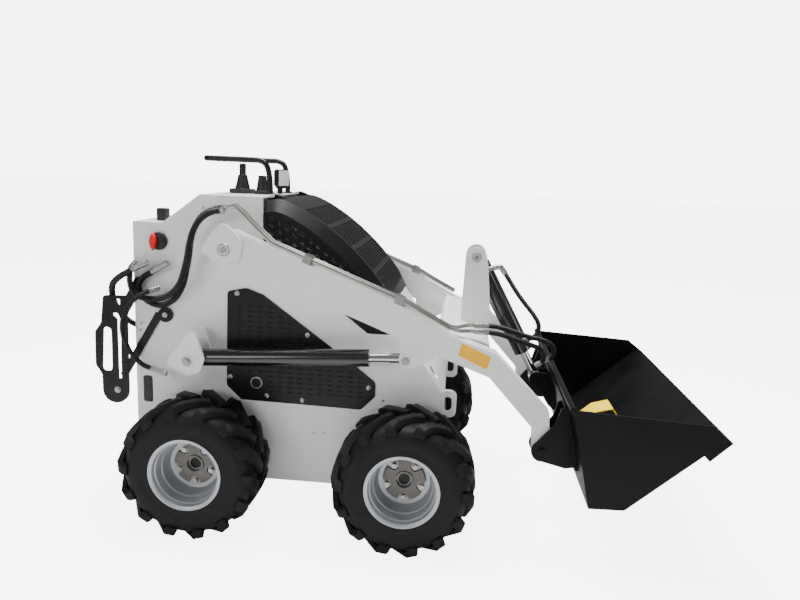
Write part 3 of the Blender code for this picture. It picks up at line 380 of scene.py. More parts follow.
def ring_tree():
    """Geometry nodes: copies of the shape spaced evenly round the Y axis, in one finish."""
    tree = bpy.data.node_groups.new("ring", "GeometryNodeTree")
    sockets(tree, "INPUT", "Geometry", "Shape")
    sockets(tree, "INPUT", "Int", ("Count", 14))
    sockets(tree, "INPUT", "Float", "Start")
    sockets(tree, "INPUT", "Material", "Finish")
    sockets(tree, "OUTPUT", "Geometry", "Ring")
    new, link = tree.nodes.new, linker(tree)
    given, result = new("NodeGroupInput"), new("NodeGroupOutput")
    spots, copies = new("GeometryNodePoints"), new("GeometryNodeInstanceOnPoints")
    index, turning = new("GeometryNodeInputIndex"), new("ShaderNodeCombineXYZ")
    pitch_angle, turn, start = new("ShaderNodeMath"), new("ShaderNodeMath"), new("ShaderNodeMath")
    pitch_angle.operation, turn.operation, start.operation = "DIVIDE", "MULTIPLY", "ADD"
    pitch_angle.inputs[0].default_value = math.tau
    link(given, "Count", spots, "Count")
    link(given, "Count", pitch_angle, 1)
    link(index, 0, turn, 0)
    link(pitch_angle, 0, turn, 1)
    link(turn, 0, start, 0)
    link(given, "Start", start, 1)
    link(start, 0, turning, "Y")
    link(spots, 0, copies, "Points")
    link(given, "Shape", copies, "Instance")
    link(turning, 0, copies, "Rotation")
    real, paint = new("GeometryNodeRealizeInstances"), new("GeometryNodeSetMaterial")
    link(copies, 0, real, 0)
    link(real, 0, paint, "Geometry")
    link(given, "Finish", paint, "Material")
    link(paint, 0, result, "Ring")
    return tree


ring = ring_tree()


def made_by(piece, tree, values):
    """The piece after a tree of geometry nodes with those input values, as a plain mesh."""
    maker = piece.modifiers.new(tree.name, "NODES")
    maker.node_group = tree
    entries = {item.name: item.identifier for item in tree.interface.items_tree if item.in_out == "INPUT"}
    for name, value in values.items():
        maker[entries[name]] = value
    return applied(piece)


def ringed(name, mesh, count, start, material):
    """The shape repeated round the Y axis."""
    return made_by(as_object(name, mesh), ring, {"Count": count, "Start": start, "Finish": material})


def joined(name, *pieces):
    """Several objects made into one."""
    work = bmesh.new()
    for piece in pieces:
        work.from_mesh(piece.data)
    mesh = bpy.data.meshes.new(name)
    work.to_mesh(mesh)
    work.free()
    for piece in pieces:
        bpy.data.objects.remove(piece)
    return as_object(name, mesh)


def put(piece, place, side=1):
    """Moves a piece's mesh to its place; side -1 mirrors it across the machine first."""
    piece.data.transform(Matrix.Translation(place) @ Matrix.Diagonal((1, side, 1, 1)))
    if side < 0:
        piece.data.flip_normals()
    return piece


tyre_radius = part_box("tyre_rear_right")[1].z / 2
tyre_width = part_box("tyre_rear_right")[1].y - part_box("tyre_rear_right")[0].y
tyre_rubber = finish("tyre_rubber", (0.0065, 0.0066, 0.0074), (0.46, 0.66), (520.0, 0.00025), 0.3,
                     dust=(0.012, 0.5), specular=0.18)
# Degrees round the wheel, depth from the outer face, and the lug's top and base radius.
lug_line = ((13.5, 0.101, 0.2325, 0.2120), (6.0, 0.083, 0.2325, 0.2120), (-3.0, 0.052, 0.2324, 0.2115),
            (-9.0, 0.024, 0.2305, 0.2070), (-11.5, 0.008, 0.2235, 0.2010), (-12.3, 0.0006, 0.2100, 0.1920),
            (-12.6, 0.0006, 0.1900, 0.1880))
lug_top, lug_base = 0.0160, 0.0205                 # half widths
lug_count = 14


def lug():
    """One lug, from the middle of the tread over the shoulder."""
    tops, bases = [], []
    for k, (angle, depth, top, base) in enumerate(lug_line):
        turn = math.radians(angle)
        spoke = Vector((math.sin(turn), 0, math.cos(turn)))
        inset = 0.010 if k >= 4 else 0.0
        tops.append(spoke * top + Vector((0, depth, 0)))
        bases.append(spoke * base + Vector((0, depth + inset, 0)))
    rows = []
    for k in range(len(lug_line)):
        run = tops[min(k + 1, len(tops) - 1)] - tops[max(k - 1, 0)]
        out = (tops[k] - bases[k]).normalized()
        wide = run.cross(out).normalized()
        rows.append([tops[k] + wide * lug_top, tops[k] - wide * lug_top,
                     bases[k] - wide * lug_base, bases[k] + wide * lug_base])
    points = [point for row in rows for point in row]
    faces = rings_of_faces(len(rows), 4)[:-4]
    faces += [(3, 2, 1, 0), tuple(4 * (len(rows) - 1) + i for i in range(4))]
    mesh = bpy.data.meshes.new("lug")
    mesh.from_pydata(points, [], faces)
    work = bmesh.new()
    work.from_mesh(mesh)
    bmesh.ops.recalc_face_normals(work, faces=work.faces)
    sharp = [edge for edge in work.edges if edge.calc_face_angle(0.0) > 0.5]
    bmesh.ops.bevel(work, geom=sharp, offset=0.0022, segments=2, affect="EDGES")
    work.to_mesh(mesh)
    work.free()
    return tidy_mesh(mesh, 50.0)


carcass = [(0.1135, 0.013), (0.1165, 0.006), (0.1235, 0.0030), (0.1330, 0.0014), (0.1380, 0.0030),
           (0.1450, 0.0016), (0.1650, 0.0012), (0.1820, 0.0035), (0.1960, 0.0105), (0.2065, 0.0240),
           (0.2120, 0.0480), (0.2138, 0.0800)]
carcass += [(radius, tyre_width - depth) for radius, depth in reversed(carcass)]


def tyre(name):
    """A whole tyre about the Y axis, its outer face at Y 0."""
    outer = ringed("outer_lugs", lug(), lug_count, 0.0, tyre_rubber)
    inner = ringed("inner_lugs", lug(), lug_count, math.pi / lug_count, tyre_rubber)
    put(inner, (0, tyre_width, 0), -1)
    return joined(name, as_object("carcass", turned("carcass", carcass, 112)), outer, inner)


# ---- rims, hub discs and lug nuts --------------------------------------------------------------
# Pressed steel rims in silver paint: a rolled flange, a stepped well and a deep disc. A notched cast
# hub disc closes it, with five bright nuts and a centre ring.
wheel_silver = finish("wheel_silver", (0.42, 0.44, 0.46), (0.30, 0.45), (700.0, 0.00008), 0.05,
                      metal=0.45, dust=(0.3, 0.3))
cast_steel = finish("cast_steel", (0.15, 0.14, 0.13), (0.42, 0.6), (260.0, 0.0004), 0.18, metal=0.6,
                    dust=(0.4, 0.4))
zinc = finish("zinc_plate", (0.36, 0.355, 0.335), (0.22, 0.42), (300.0, 0.00005), 0.12, metal=0.95)
disc_depth, nut_count, nut_circle = 0.1035, 5, 0.0590
rim_line = [(0.1115, 0.014), (0.1125, 0.007), (0.1175, 0.0030), (0.1205, 0.0030), (0.1215, 0.0012),
            (0.1195, 0.0004), (0.1155, 0.0010), (0.1095, 0.0045), (0.1072, 0.0110), (0.1066, 0.0200),
            (0.1030, 0.0235), (0.1022, 0.0300), (0.0985, 0.0540), (0.0950, 0.0580), (0.0925, 0.0800),
            (0.0895, 0.0930), (0.0850, 0.1010), (0.0790, disc_depth), (0.0200, disc_depth),
            (0.0200, disc_depth + 0.007), (0.0860, disc_depth + 0.007), (0.0960, disc_depth + 0.012),
            (0.1020, 0.1900), (0.1080, 0.2010), (0.1160, 0.2050), (0.1195, 0.2090), (0.1170, 0.2125),
            (0.1140, 0.2100), (0.1105, 0.2040)]


def hub_disc(name):
    """The hub disc, with a half-round notch round each nut."""
    edge, edge_points = [], 150
    disc_radius, notch_radius, notch_circle, notch_floor = 0.0700, 0.0150, 0.0600, 0.0455
    for k in range(edge_points):
        turn = math.tau * k / edge_points
        reach = disc_radius
        for n in range(nut_count):
            gap = turn - math.tau * (n + 0.5) / nut_count
            inside = notch_radius ** 2 - (notch_circle * math.sin(gap)) ** 2
            if inside > 0 and math.cos(gap) > 0:
                reach = min(reach, max(notch_circle * math.cos(gap) - math.sqrt(inside), notch_floor))
        edge.append((reach, turn))
    layers = ((1.0, 0.0), (1.0, -0.0065), (0.975, -0.008))
    points = [(r * s * math.sin(t), disc_depth + y, r * s * math.cos(t)) for s, y in layers for r, t in edge]
    inner = ((0.0320, -0.008), (0.0315, -0.013), (0.0255, -0.013), (0.0235, -0.010), (0.0225, -0.001),
             (0.0225, 0.0))
    points += [(r * math.sin(t), disc_depth + y, r * math.cos(t)) for r, y in inner for _reach, t in edge]
    mesh = bpy.data.meshes.new("hub_disc")
    mesh.from_pydata(points, [], rings_of_faces(len(layers) + len(inner), len(edge)))
    return as_object(name, tidy_mesh(mesh, 30.0))


def hexagon(radius, height, collar=0.0):
    """A hex head with a chamfered top, along -Y from Y 0, on a washer if a collar radius is given."""
    shape = bmesh.new()
    bmesh.ops.create_cone(shape, cap_ends=True, segments=6, radius1=radius, radius2=radius, depth=height)
    bmesh.ops.bevel(shape, geom=list(shape.edges), offset=radius * 0.09, segments=2, affect="EDGES")
    bmesh.ops.translate(shape, verts=shape.verts, vec=(0, 0, height / 2 + 0.001))
    if collar:
        washer = bmesh.ops.create_cone(shape, cap_ends=True, segments=24, radius1=collar, radius2=collar * 0.93,
                                       depth=0.002)
        bmesh.ops.translate(shape, verts=washer["verts"], vec=(0, 0, 0.001))
    bmesh.ops.rotate(shape, verts=shape.verts, matrix=Matrix.Rotation(math.pi / 2, 3, "X"))
    return made_mesh("hex_head", shape, 25.0)


def nut_ring(name):
    """The lug nuts in their notches."""
    nut, turn = hexagon(0.0095, 0.012, 0.0125), math.pi / nut_count
    nut.transform(Matrix.Translation((nut_circle * math.sin(turn), disc_depth, nut_circle * math.cos(turn))))
    return ringed(name, nut, nut_count, 0.0, zinc)


for place in ("rear_right", "rear_left", "front_right", "front_left"):
    low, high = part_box(f"tyre_{place}")
    side = 1 if place.endswith("right") else -1
    centre = ((low.x + high.x) / 2, low.y if side > 0 else high.y, tyre_radius)
    fit(put(tyre(f"tyre_tread_{place}"), centre, side), tyre_rubber, "tyre_rubber", f"tyre_{place}")
    rim = as_object(f"rim_shell_{place}", turned("rim", rim_line, 112, 25.0))
    fit(put(rim, centre, side), wheel_silver, "wheel_silver", f"rim_{place}")
    fit(put(hub_disc(f"hub_disc_{place}"), centre, side), cast_steel, "cast_steel", body=f"wheel_{place}")
    fit(put(nut_ring(f"lug_nuts_{place}"), centre, side), zinc, "zinc_pipe", body=f"wheel_{place}")

# ---- perforated side covers --------------------------------------------------------------------
# Cooling covers of thin black steel on each side plate, pierced with rows of oblong slots and held
# by round-headed screws at their corners.
def rounded(corners, steps=5):
    """A closed outline from corners (a, b) or (a, b, radius), the radius as a fillet."""
    points = []
    for i, corner in enumerate(corners):
        here = Vector(corner[:2])
        radius = corner[2] if len(corner) > 2 else 0
        if not radius:
            points.append(tuple(here))
            continue
        before = (Vector(corners[i - 1][:2]) - here).normalized()
        after = (Vector(corners[(i + 1) % len(corners)][:2]) - here).normalized()
        half = before.angle(after) / 2
        middle = here + (before + after).normalized() * (radius / math.sin(half))
        reach = radius / math.tan(half)
        first, last = here + before * reach - middle, here + after * reach - middle
        sweep = math.atan2(first.x * last.y - first.y * last.x, first.dot(last))
        points += [tuple(middle + Matrix.Rotation(sweep * k / steps, 2) @ first) for k in range(steps + 1)]
    return points


def clear_of_edges(point, outline, margin):
    """Whether a point lies inside a closed outline and at least a margin from its edge."""
    inside = False
    for i, end in enumerate(outline):
        a, b, p = Vector(outline[i - 1]), Vector(end), Vector(point)
        if (a.y > p.y) != (b.y > p.y) and p.x < (b.x - a.x) * (p.y - a.y) / (b.y - a.y) + a.x:
            inside = not inside
        run = b - a
        share = min(max((p - a).dot(run) / max(run.length_squared, 1e-12), 0), 1)
        if (p - a - run * share).length < margin:
            return False
    return inside


def pierced_tree():
    """Geometry nodes: a sheet from its outline, with a rounded slot cut at every loose point."""
    tree = bpy.data.node_groups.new("pierced_sheet", "GeometryNodeTree")
    sockets(tree, "INPUT", "Geometry", "Plan")
    sockets(tree, "INPUT", "Float", ("Slot Length", 0.02), ("Slot Width", 0.007), "Tilt", ("Thickness", 0.003))
    sockets(tree, "INPUT", "Material", "Finish")
    sockets(tree, "OUTPUT", "Geometry", "Sheet")
    new, link = tree.nodes.new, linker(tree)
    given, result = new("NodeGroupInput"), new("NodeGroupOutput")
    edge, spots = new("GeometryNodeMeshToCurve"), new("GeometryNodeMeshToPoints")
    near, alone = new("GeometryNodeInputMeshVertexNeighbors"), new("FunctionNodeCompare")
    alone.data_type, alone.operation = "INT", "EQUAL"
    link(near, "Vertex Count", alone, 2)
    link(given, "Plan", edge, "Mesh")
    link(given, "Plan", spots, "Mesh")
    link(alone, 0, spots, "Selection")
    slot, soft = new("GeometryNodeCurvePrimitiveQuadrilateral"), new("GeometryNodeFilletCurve")
    half, copies, turning = (new("ShaderNodeMath"), new("GeometryNodeInstanceOnPoints"),
                             new("ShaderNodeCombineXYZ"))
    link(given, "Slot Length", slot, "Width")
    link(given, "Slot Width", slot, "Height")
    half.operation = "MULTIPLY"
    half.inputs[1].default_value = 0.49
    link(given, "Slot Width", half, 0)
    soft.mode = "POLY"
    soft.inputs["Count"].default_value = 3
    link(slot, 0, soft, "Curve")
    link(half, 0, soft, "Radius")
    link(given, "Tilt", turning, "Z")
    link(spots, 0, copies, "Points")
    link(soft, 0, copies, "Instance")
    link(turning, 0, copies, "Rotation")
    real, both, fill, rise = (new("GeometryNodeRealizeInstances"), new("GeometryNodeJoinGeometry"),
                              new("GeometryNodeFillCurve"), new("GeometryNodeExtrudeMesh"))
    link(copies, 0, real, 0)
    link(edge, 0, both, 0)
    link(real, 0, both, 0)
    link(both, 0, fill, "Curve")
    rise.inputs["Individual"].default_value = False
    link(fill, 0, rise, "Mesh")
    link(given, "Thickness", rise, "Offset Scale")
    back, whole, weld, paint = (new("GeometryNodeFlipFaces"), new("GeometryNodeJoinGeometry"),
                                new("GeometryNodeMergeByDistance"), new("GeometryNodeSetMaterial"))
    link(fill, 0, back, 0)
    link(rise, "Mesh", whole, 0)
    link(back, 0, whole, 0)
    link(whole, 0, weld, "Geometry")
    weld.inputs["Distance"].default_value = 0.00001
    link(weld, 0, paint, "Geometry")
    link(given, "Finish", paint, "Material")
    link(paint, 0, result, "Sheet")
    return tree


pierced_sheet = pierced_tree()


def pierced(name, outline, spots, length, width, tilt, thickness, material, y):
    """A pierced upright sheet from its (x, z) outline, its inner face at distance y to the machine's right."""
    plan = bpy.data.meshes.new(name)
    edges = [(i, (i + 1) % len(outline)) for i in range(len(outline))]
    plan.from_pydata([(*p, 0) for p in [*outline, *spots]], edges, [])
    piece = as_object(name, plan)
    made_by(piece, pierced_sheet, {"Slot Length": length, "Slot Width": width, "Tilt": tilt,
                                   "Thickness": thickness, "Finish": material})
    piece.data.transform(Matrix(((1, 0, 0, rear_axle), (0, 0, -1, -y), (0, 1, 0, 0), (0, 0, 0, 1))))
    tidy_mesh(piece.data, 30.0)
    return piece


def slab(name, outline, layers, smooth):
    """A solid between copies of an (x, z) outline, one for each (y, scale) of its layers."""
    shape = bmesh.new()
    rows = [[shape.verts.new((x * scale, y, z * scale)) for x, z in outline] for y, scale in layers]
    shape.faces.new(rows[0])
    shape.faces.new(rows[-1])
    for a, b in zip(rows, rows[1:]):
        for i in range(len(outline)):
            shape.faces.new((a[i - 1], a[i], b[i], b[i - 1]))
    return as_object(name, made_mesh(name, shape, smooth))


def screw_heads(name, spots, y, head):
    """Fasteners on an upright face: one head at each (x, z) spot, facing the machine's right."""
    heads = [put(as_object("head", head.copy()), (rear_axle + x, -y, z)) for x, z in spots]
    return joined(name, *heads)


cover_outline = rounded([(0.066, 0.800, 0.012), (0.131, 0.815, 0.030), (0.190, 0.795, 0.010),
                         (0.512, 0.566, 0.010), (0.583, 0.512, 0.020), (0.583, 0.462, 0.012),
                         (0.535, 0.412, 0.015), (0.115, 0.420, 0.010), (0.063, 0.468, 0.015)])
screw_reach, slot_pitch, row_pitch, cover_margin = 0.022, 0.0350, 0.0174, 0.0165
cover_back, shade_sheet_back, cover_front = 0.2914, 0.2904, 0.2943
cover_screws = [(0.100, 0.795), (0.345, 0.664), (0.205, 0.440), (0.330, 0.432), (0.560, 0.492), (0.076, 0.500)]
slot_spots = []
for row in range(18):
    for column in range(15):
        spot = (0.113 + slot_pitch * column, 0.458 + row_pitch * row)
        by_screw = any((Vector(spot) - Vector(screw)).length < screw_reach for screw in cover_screws)
        plain = (spot[0] < 0.20 and spot[1] < 0.520) or by_screw
        if clear_of_edges(spot, cover_outline, cover_margin) and not plain:
            slot_spots.append(spot)
round_head = turned("round_head", [(0.0, 0.0), (0.0090, 0.0), (0.0090, -0.0022), (0.0072, -0.0042),
                                   (0.0040, -0.0050), (0.0, -0.0052)], 24)
plate_ring = [(0.0210, 0.0), (0.0210, -0.0016), (0.0170, -0.0016), (0.0170, 0.0)]
for side, sign in (("right", 1), ("left", -1)):
    cover = pierced(f"pierced_cover_{side}", cover_outline, slot_spots, 0.0200, 0.0068, 0.0, 0.0028,
                    black_paint, cover_back)
    # A plain black sheet without slots, just behind each cover, darkens every slot: painted shade for the shaded
    # inside.
    shade_sheet = pierced(f"cover_shade_sheet_{side}", cover_outline, [], 0.02, 0.007, 0.0, 0.0006, black_paint,
                     shade_sheet_back)
    heads = screw_heads(f"cover_screws_{side}", cover_screws, cover_front, round_head)
    if sign < 0:
        for piece in (cover, shade_sheet, heads):
            put(piece, (0, 0, 0), -1)
    fit(shade_sheet, black_paint, "black_paint", body="chassis")
    fit(heads, zinc, "zinc_pipe", body="chassis")
    fit(cover, black_paint, "black_paint", f"vent_plate_{side}")
for side, sign in (("right", 1), ("left", -1)):
    ring_piece = as_object(f"cover_ring_{side}", turned("cover_ring", plate_ring, 48))
    fit(put(ring_piece, (rear_axle + 0.168, -cover_front * sign, 0.484), sign), zinc, "zinc_pipe",
        body="chassis")


# ---- engine hood -------------------------------------------------------------------------------
# One lid of bent black sheet: a curved top pierced with bands of narrow slots, slanted shoulders,
# and flat sides pierced with tilted slots. Two hinge leaves at its upper rear edge carry it.
hood_curve = [(0.1885, 1.1105), (0.225, 1.1155), (0.262, 1.108), (0.318, 1.082), (0.390, 1.037),
              (0.456, 0.985), (0.512, 0.933), (0.560, 0.880), (0.597, 0.832), (0.631, 0.770)]
skirt = [(0.1885, 0.961), (0.549, 0.683), (0.666, 0.683)]
hood_side_y, hood_top_y, hood_wall, shoulder_drop = 0.2835, 0.2485, 0.004, 0.040
front_turn = 0.86                                  # share of the top line where the shoulder runs out
front_top, front_foot = Vector(hood_curve[-1]), Vector(skirt[-1])
front_shoulder = front_top.lerp(front_foot, shoulder_drop / (front_foot - front_top).length)


def hood_point(share):
    """A point on the hood's smooth top line, by its share of the line's length, with its direction."""
    line = [Vector(point) for point in hood_curve]
    lengths = [(b - a).length for a, b in zip(line, line[1:])]
    left, k = share * sum(lengths), 0
    while left > lengths[k] and k < len(lengths) - 1:
        left -= lengths[k]
        k += 1
    t = min(left / lengths[k], 1.0)
    a, b = line[k], line[k + 1]
    before, after = line[max(k - 1, 0)], line[min(k + 2, len(line) - 1)]
    start_run = (b - before) * (0.5 if k else 1.0)
    end_run = (after - a) * (0.5 if k < len(lengths) - 1 else 1.0)
    point = ((2 * t ** 3 - 3 * t * t + 1) * a + (t ** 3 - 2 * t * t + t) * start_run
             + (3 * t * t - 2 * t ** 3) * b + (t ** 3 - t * t) * end_run)
    run = ((6 * t * t - 6 * t) * (a - b) + (3 * t * t - 4 * t + 1) * start_run
           + (3 * t * t - 2 * t) * end_run)
    return point, run.normalized()


def hood_top():
    """The top and its shoulders as one bent skin with slots left open, then given its wall."""
    stations, shape, rows = 141, bmesh.new(), []
    slots_across, pitch_across, slot_half = 16, 0.0290, 0.0115
    first_band, last_band, band_pitch, band_rows = 31, 133, 26, 22
    across_y = [-hood_top_y]
    for k in range(slots_across):
        middle = -0.2175 + pitch_across * k
        across_y += [middle - slot_half, middle + slot_half]
    across_y.append(hood_top_y)
    for k in range(stations):
        point, run = hood_point(k / (stations - 1))
        if k == 0:
            low = Vector((point.x, point.y - shoulder_drop))
        else:
            low = point + Vector((run.y, -run.x)) * shoulder_drop
        near_front = max(0.0, (k / (stations - 1) - front_turn) / (1 - front_turn))
        low = low.lerp(front_shoulder, near_front) if near_front else low
        line = [(-hood_side_y, low), *[(y, point) for y in across_y], (hood_side_y, low)]
        rows.append([shape.verts.new((rear_axle + p.x, y, p.y)) for y, p in line])
    for k, (a, b) in enumerate(zip(rows, rows[1:])):
        in_band = first_band <= k <= last_band and (k - first_band) % band_pitch < band_rows and k % 2 == 0
        for i in range(len(a) - 1):
            if in_band and i >= 2 and i % 2 == 0 and i <= len(a) - 4:
                continue
            shape.faces.new((a[i], a[i + 1], b[i + 1], b[i]))
    bmesh.ops.recalc_face_normals(shape, faces=shape.faces)
    if sum(face.normal.z for face in shape.faces) < 0:
        bmesh.ops.reverse_faces(shape, faces=shape.faces)
    mesh = bpy.data.meshes.new("hood_top")
    shape.to_mesh(mesh)
    shape.free()
    piece = as_object("hood_top", mesh)
    wall = piece.modifiers.new("wall", "SOLIDIFY")
    wall.thickness, wall.offset, wall.use_even_offset = hood_wall, -1, True
    applied(piece)
    tidy_mesh(piece.data, 28.0)
    return piece


side_outline = [(hood_curve[0][0], hood_curve[0][1] - shoulder_drop)]
for k in range(1, 24):
    point, run = hood_point(k / 24 * front_turn)
    side_outline.append(tuple(point + Vector((run.y, -run.x)) * (shoulder_drop - 0.0005)))
side_outline += [tuple(front_shoulder), *reversed(skirt)]
side_spots = []
slope = math.radians(-37.0)
for row in range(-14, 15):
    for column in range(-14, 15):
        flat = Vector((0.0335 * (column + (row % 2) / 2), 0.0215 * row))
        spot = Vector((0.40, 0.86)) + Matrix.Rotation(slope, 2) @ flat
        if clear_of_edges(spot, side_outline, 0.0185):
            side_spots.append(tuple(spot))
hood_paint = finish("hood_paint", (0.0045, 0.0046, 0.0052), (0.30, 0.44), (800.0, 0.00012), 0.25,
                    dust=(0.01, 0.6), specular=0.2)
leaf_line = rounded([(0.1925, 1.108), (0.235, 1.1115), (0.235, 1.1175, 0.002), (0.206, 1.1285, 0.004),
                     (0.190, 1.1285, 0.004)], 3)
fit(hood_top(), hood_paint, "black_paint", "hood")
for side, sign in (("right", 1), ("left", -1)):
    panel = pierced(f"hood_side_{side}", side_outline, side_spots, 0.0185, 0.0080, slope, hood_wall,
                    hood_paint, hood_side_y - hood_wall)
    if sign < 0:
        put(panel, (0, 0, 0), -1)
    fit(panel, hood_paint, "black_paint", body="hood")
    leaf = slab(f"hinge_leaf_{side}", leaf_line, ((-0.1625, 1), (-0.1975, 1)), 25.0)
    fit(put(leaf, (rear_axle, 0, 0), sign), hood_paint, "black_paint", body="hood")
catch = turned("hood_catch", [(0.0, 0.0), (0.0150, 0.0), (0.0150, -0.0020), (0.0125, -0.0032),
                              (0.0095, -0.0020), (0.0, -0.0020)], 36)
fit(put(as_object("hood_catch", catch), (rear_axle + 0.600, -hood_side_y, 0.706)), zinc, "zinc_pipe",
    body="hood")


# ---- brackets, lift arms and cross member ------------------------------------------------------
# Welded plate and box section in the body's white paint, with the pins' cheeks on each side.
white_nodes = {"arm_pivot_bracket": 0.0015, "lift_cylinder_bracket": 0.0015, "lift_arm": 0.0045}
for label, radius in white_nodes.items():
    for side in ("right", "left"):
        shell(f"{label}_shell_{side}", f"{label}_{side}", white_paint, "white_paint", radius)
shell("cross_member_shell", "cross_member", white_paint, "white_paint", 0.0030)
for side in ("right", "left"):
    shell(f"hand_guard_{side}", f"rear_guard_{side}", black_paint, "black_paint", 0.0022)


# ---- pin bolts and side bolts ------------------------------------------------------------------
# Zinc-plated hex bolts, on washers at the pins' heads and plain on the side plates, and a blank label.
def bolts(name, body, places, radius, height, collar):
    """Hex bolts at (x, distance from the middle, z), on both sides of the machine."""
    for sign in (1, -1):
        heads = [put(as_object("bolt", hexagon(radius, height, collar)), (rear_axle + x, -y * sign, z), sign)
                 for x, y, z in places]
        side = "right" if sign > 0 else "left"
        fit(joined(f"{name}_{side}", *heads), zinc, "zinc_pipe", body=body)


arm_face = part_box("lift_arm_left")[1].y - 0.0002
bracket_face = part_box("lift_cylinder_bracket_left")[1].y - 0.0002
plate_face, guard_face = 0.2899, 0.2982
bolts("rod_pin_bolts", "lift_arms", [(0.690, arm_face, 0.626)], 0.0085, 0.006, 0.0150)
bolts("arm_pin_bolts", "chassis", [(0.096, 0.4188, 0.956)], 0.0125, 0.008, 0.0215)
bolts("cylinder_pin_bolts", "chassis", [(-0.030, bracket_face, 0.582)], 0.0100, 0.007, 0.0160)
bolts("side_bolts", "chassis", [(x, plate_face, z) for x, z in (
    (0.611, 0.449), (0.373, 0.314), (0.407, 0.316), (-0.016, 1.078), (-0.241, 0.670), (-0.245, 0.646))],
      0.0050, 0.003, 0.0)
bolts("stay_bolts", "chassis", [(-0.152, guard_face, 0.706)], 0.0100, 0.005, 0.0150)
bolts("guard_bolts", "chassis", [(-0.331, guard_face, 0.425)], 0.0085, 0.005, 0.0120)
bolts("tower_pin_bolts", "lift_arms", [(0.906, 0.0585, 0.932)], 0.0100, 0.006, 0.0170)
label_line = rounded([(x, z, 0.006) for x, z in (
    (0.868, 0.695), (0.963, 0.655), (0.951, 0.612), (0.856, 0.655))], 4)
label_yellow = finish("label_yellow", (1.0, 0.50, 0.0), (0.30, 0.40), (400.0, 0.00004), 0.05,
                      dust=(0.0, 0.4))
label = slab("blank_label", label_line, ((-0.3981, 1), (-0.3984, 1)), 40.0)
fit(put(label, (rear_axle, 0, 0)), label_yellow, "yellow_paint", body="lift_arms")


# ---- lift and tilt cylinders -------------------------------------------------------------------
# Honed tubes in gloss black with a gland nut, and hard-chromed rods with forged eyes.
cylinder_black = finish("cylinder_black", (0.0045, 0.0050, 0.0062), (0.16, 0.28), (500.0, 0.00006),
                        0.15, coat=0.6, dust=(0.03, 0.6))
chrome = finish("chrome_rod", (0.55, 0.56, 0.58), (0.06, 0.14), (1400.0, 0.00001), 0.04, metal=1.0,
                dust=(0.0, 0.4))
for side in ("right", "left"):
    shell(f"lift_cylinder_{side}", f"lift_barrel_{side}", cylinder_black, "black_paint", 0.0012, 35.0)
    shell(f"lift_rod_shaft_{side}", f"lift_rod_{side}", chrome, "chrome_rod", 0.0012, 35.0)
shell("tilt_cylinder", "tilt_barrel", cylinder_black, "black_paint", 0.0012, 35.0)
shell("tilt_rod_shaft", "tilt_rod", chrome, "chrome_rod", 0.0012, 35.0)


# ---- hydraulic pipes on the arms ---------------------------------------------------------------
# Zinc-plated steel tube in pairs along the top of each arm, held by clamp blocks.
for side in ("right", "left"):
    shell(f"arm_pipe_pair_{side}", f"arm_pipes_{side}", zinc, "zinc_pipe", 0.0008, 40.0)


# ---- bucket, coupler and cutting-edge bracket --------------------------------------------------
# Black welded plate with a rolled rear lip; the coupler's ears carry the arm and tilt pins. A small
# bent bracket on the floor is painted yellow.
bucket_black = finish("bucket_black", (0.0038, 0.0038, 0.0042), (0.32, 0.48), (380.0, 0.00016), 0.35,
                      coat=0.0, dust=(0.02, 0.5), specular=0.14)
yellow_paint = finish("yellow_paint", (1.0, 0.72, 0.0), (0.30, 0.42), (500.0, 0.00008), 0.05, coat=0.3,
                      dust=(0.0, 0.4))
shell("bucket_shell", "bucket", bucket_black, "black_paint", 0.0015)
shell("coupler_frame", "coupler", bucket_black, "black_paint", 0.0015)
shell("yellow_bracket", "bucket_bracket", yellow_paint, "yellow_paint", 0.0015)


# ---- controls ----------------------------------------------------------------------------------
# Two levers with rubber boots, a work light, a filler cap and the battery switch, round the upper deck.
black_plastic = finish("black_plastic", (0.0085, 0.0085, 0.0092), (0.38, 0.55), (700.0, 0.0002), 0.15,
                       dust=(0.02, 0.5), specular=0.35)
red_plastic = finish("red_plastic", (0.66, 0.006, 0.006), (0.25, 0.38), (600.0, 0.00008), 0.06,
                     dust=(0.0, 0.4))
shell("drive_lever_boot", "drive_lever", black_plastic, "black_plastic", 0.0020, 30.0)
shell("tool_lever_boot", "tool_lever", black_plastic, "black_plastic", 0.0020, 30.0)
shell("oil_cap", "filler_cap", black_plastic, "black_plastic", 0.0030, 30.0)
switch_line = [(0.0, -0.0155), (0.0240, -0.0155), (0.0285, -0.0125), (0.0300, -0.0080), (0.0300, 0.0),
               (0.0, 0.0)]
switch_place = (rear_axle - 0.172, -0.2903, 0.959)
switch = put(as_object("isolator_body", turned("isolator_body", switch_line, 48)), switch_place)
fit(switch, black_plastic, "black_plastic", "battery_switch")
key_line = rounded([(-0.0120, 0.0340, 0.003), (-0.0220, 0.0180, 0.010), (-0.0255, 0.0, 0.012),
                    (-0.0220, -0.0180, 0.010), (-0.0120, -0.0350, 0.003), (-0.0030, -0.0160, 0.008),
                    (0.0010, 0.0, 0.012), (-0.0030, 0.0160, 0.008)], 4)
key = slab("isolator_key", key_line, ((-0.3058, 1.0), (-0.3180, 0.94), (-0.3235, 0.78)), 40.0)
fit(put(key, (switch_place[0], 0, switch_place[2])), red_plastic, "red_plastic", body="chassis")
lens_glass = finish("lens_white", (0.86, 0.88, 0.90), (0.12, 0.22), (260.0, 0.0004), 0.04, dust=(0.0, 0.5))


def dressed_block(shape, size, place, edge):
    """Adds a block with dressed edges to a shape, in the turned lamp's own place."""
    block = bmesh.new()
    bmesh.ops.create_cube(block, size=1.0, matrix=Matrix.Diagonal((*size, 1)))
    bmesh.ops.bevel(block, geom=list(block.edges), offset=edge, segments=3, affect="EDGES")
    block.transform(lamp_place @ Matrix.Translation(place))
    part = bpy.data.meshes.new("block")
    block.to_mesh(part)
    block.free()
    shape.from_mesh(part)
    bpy.data.meshes.remove(part)


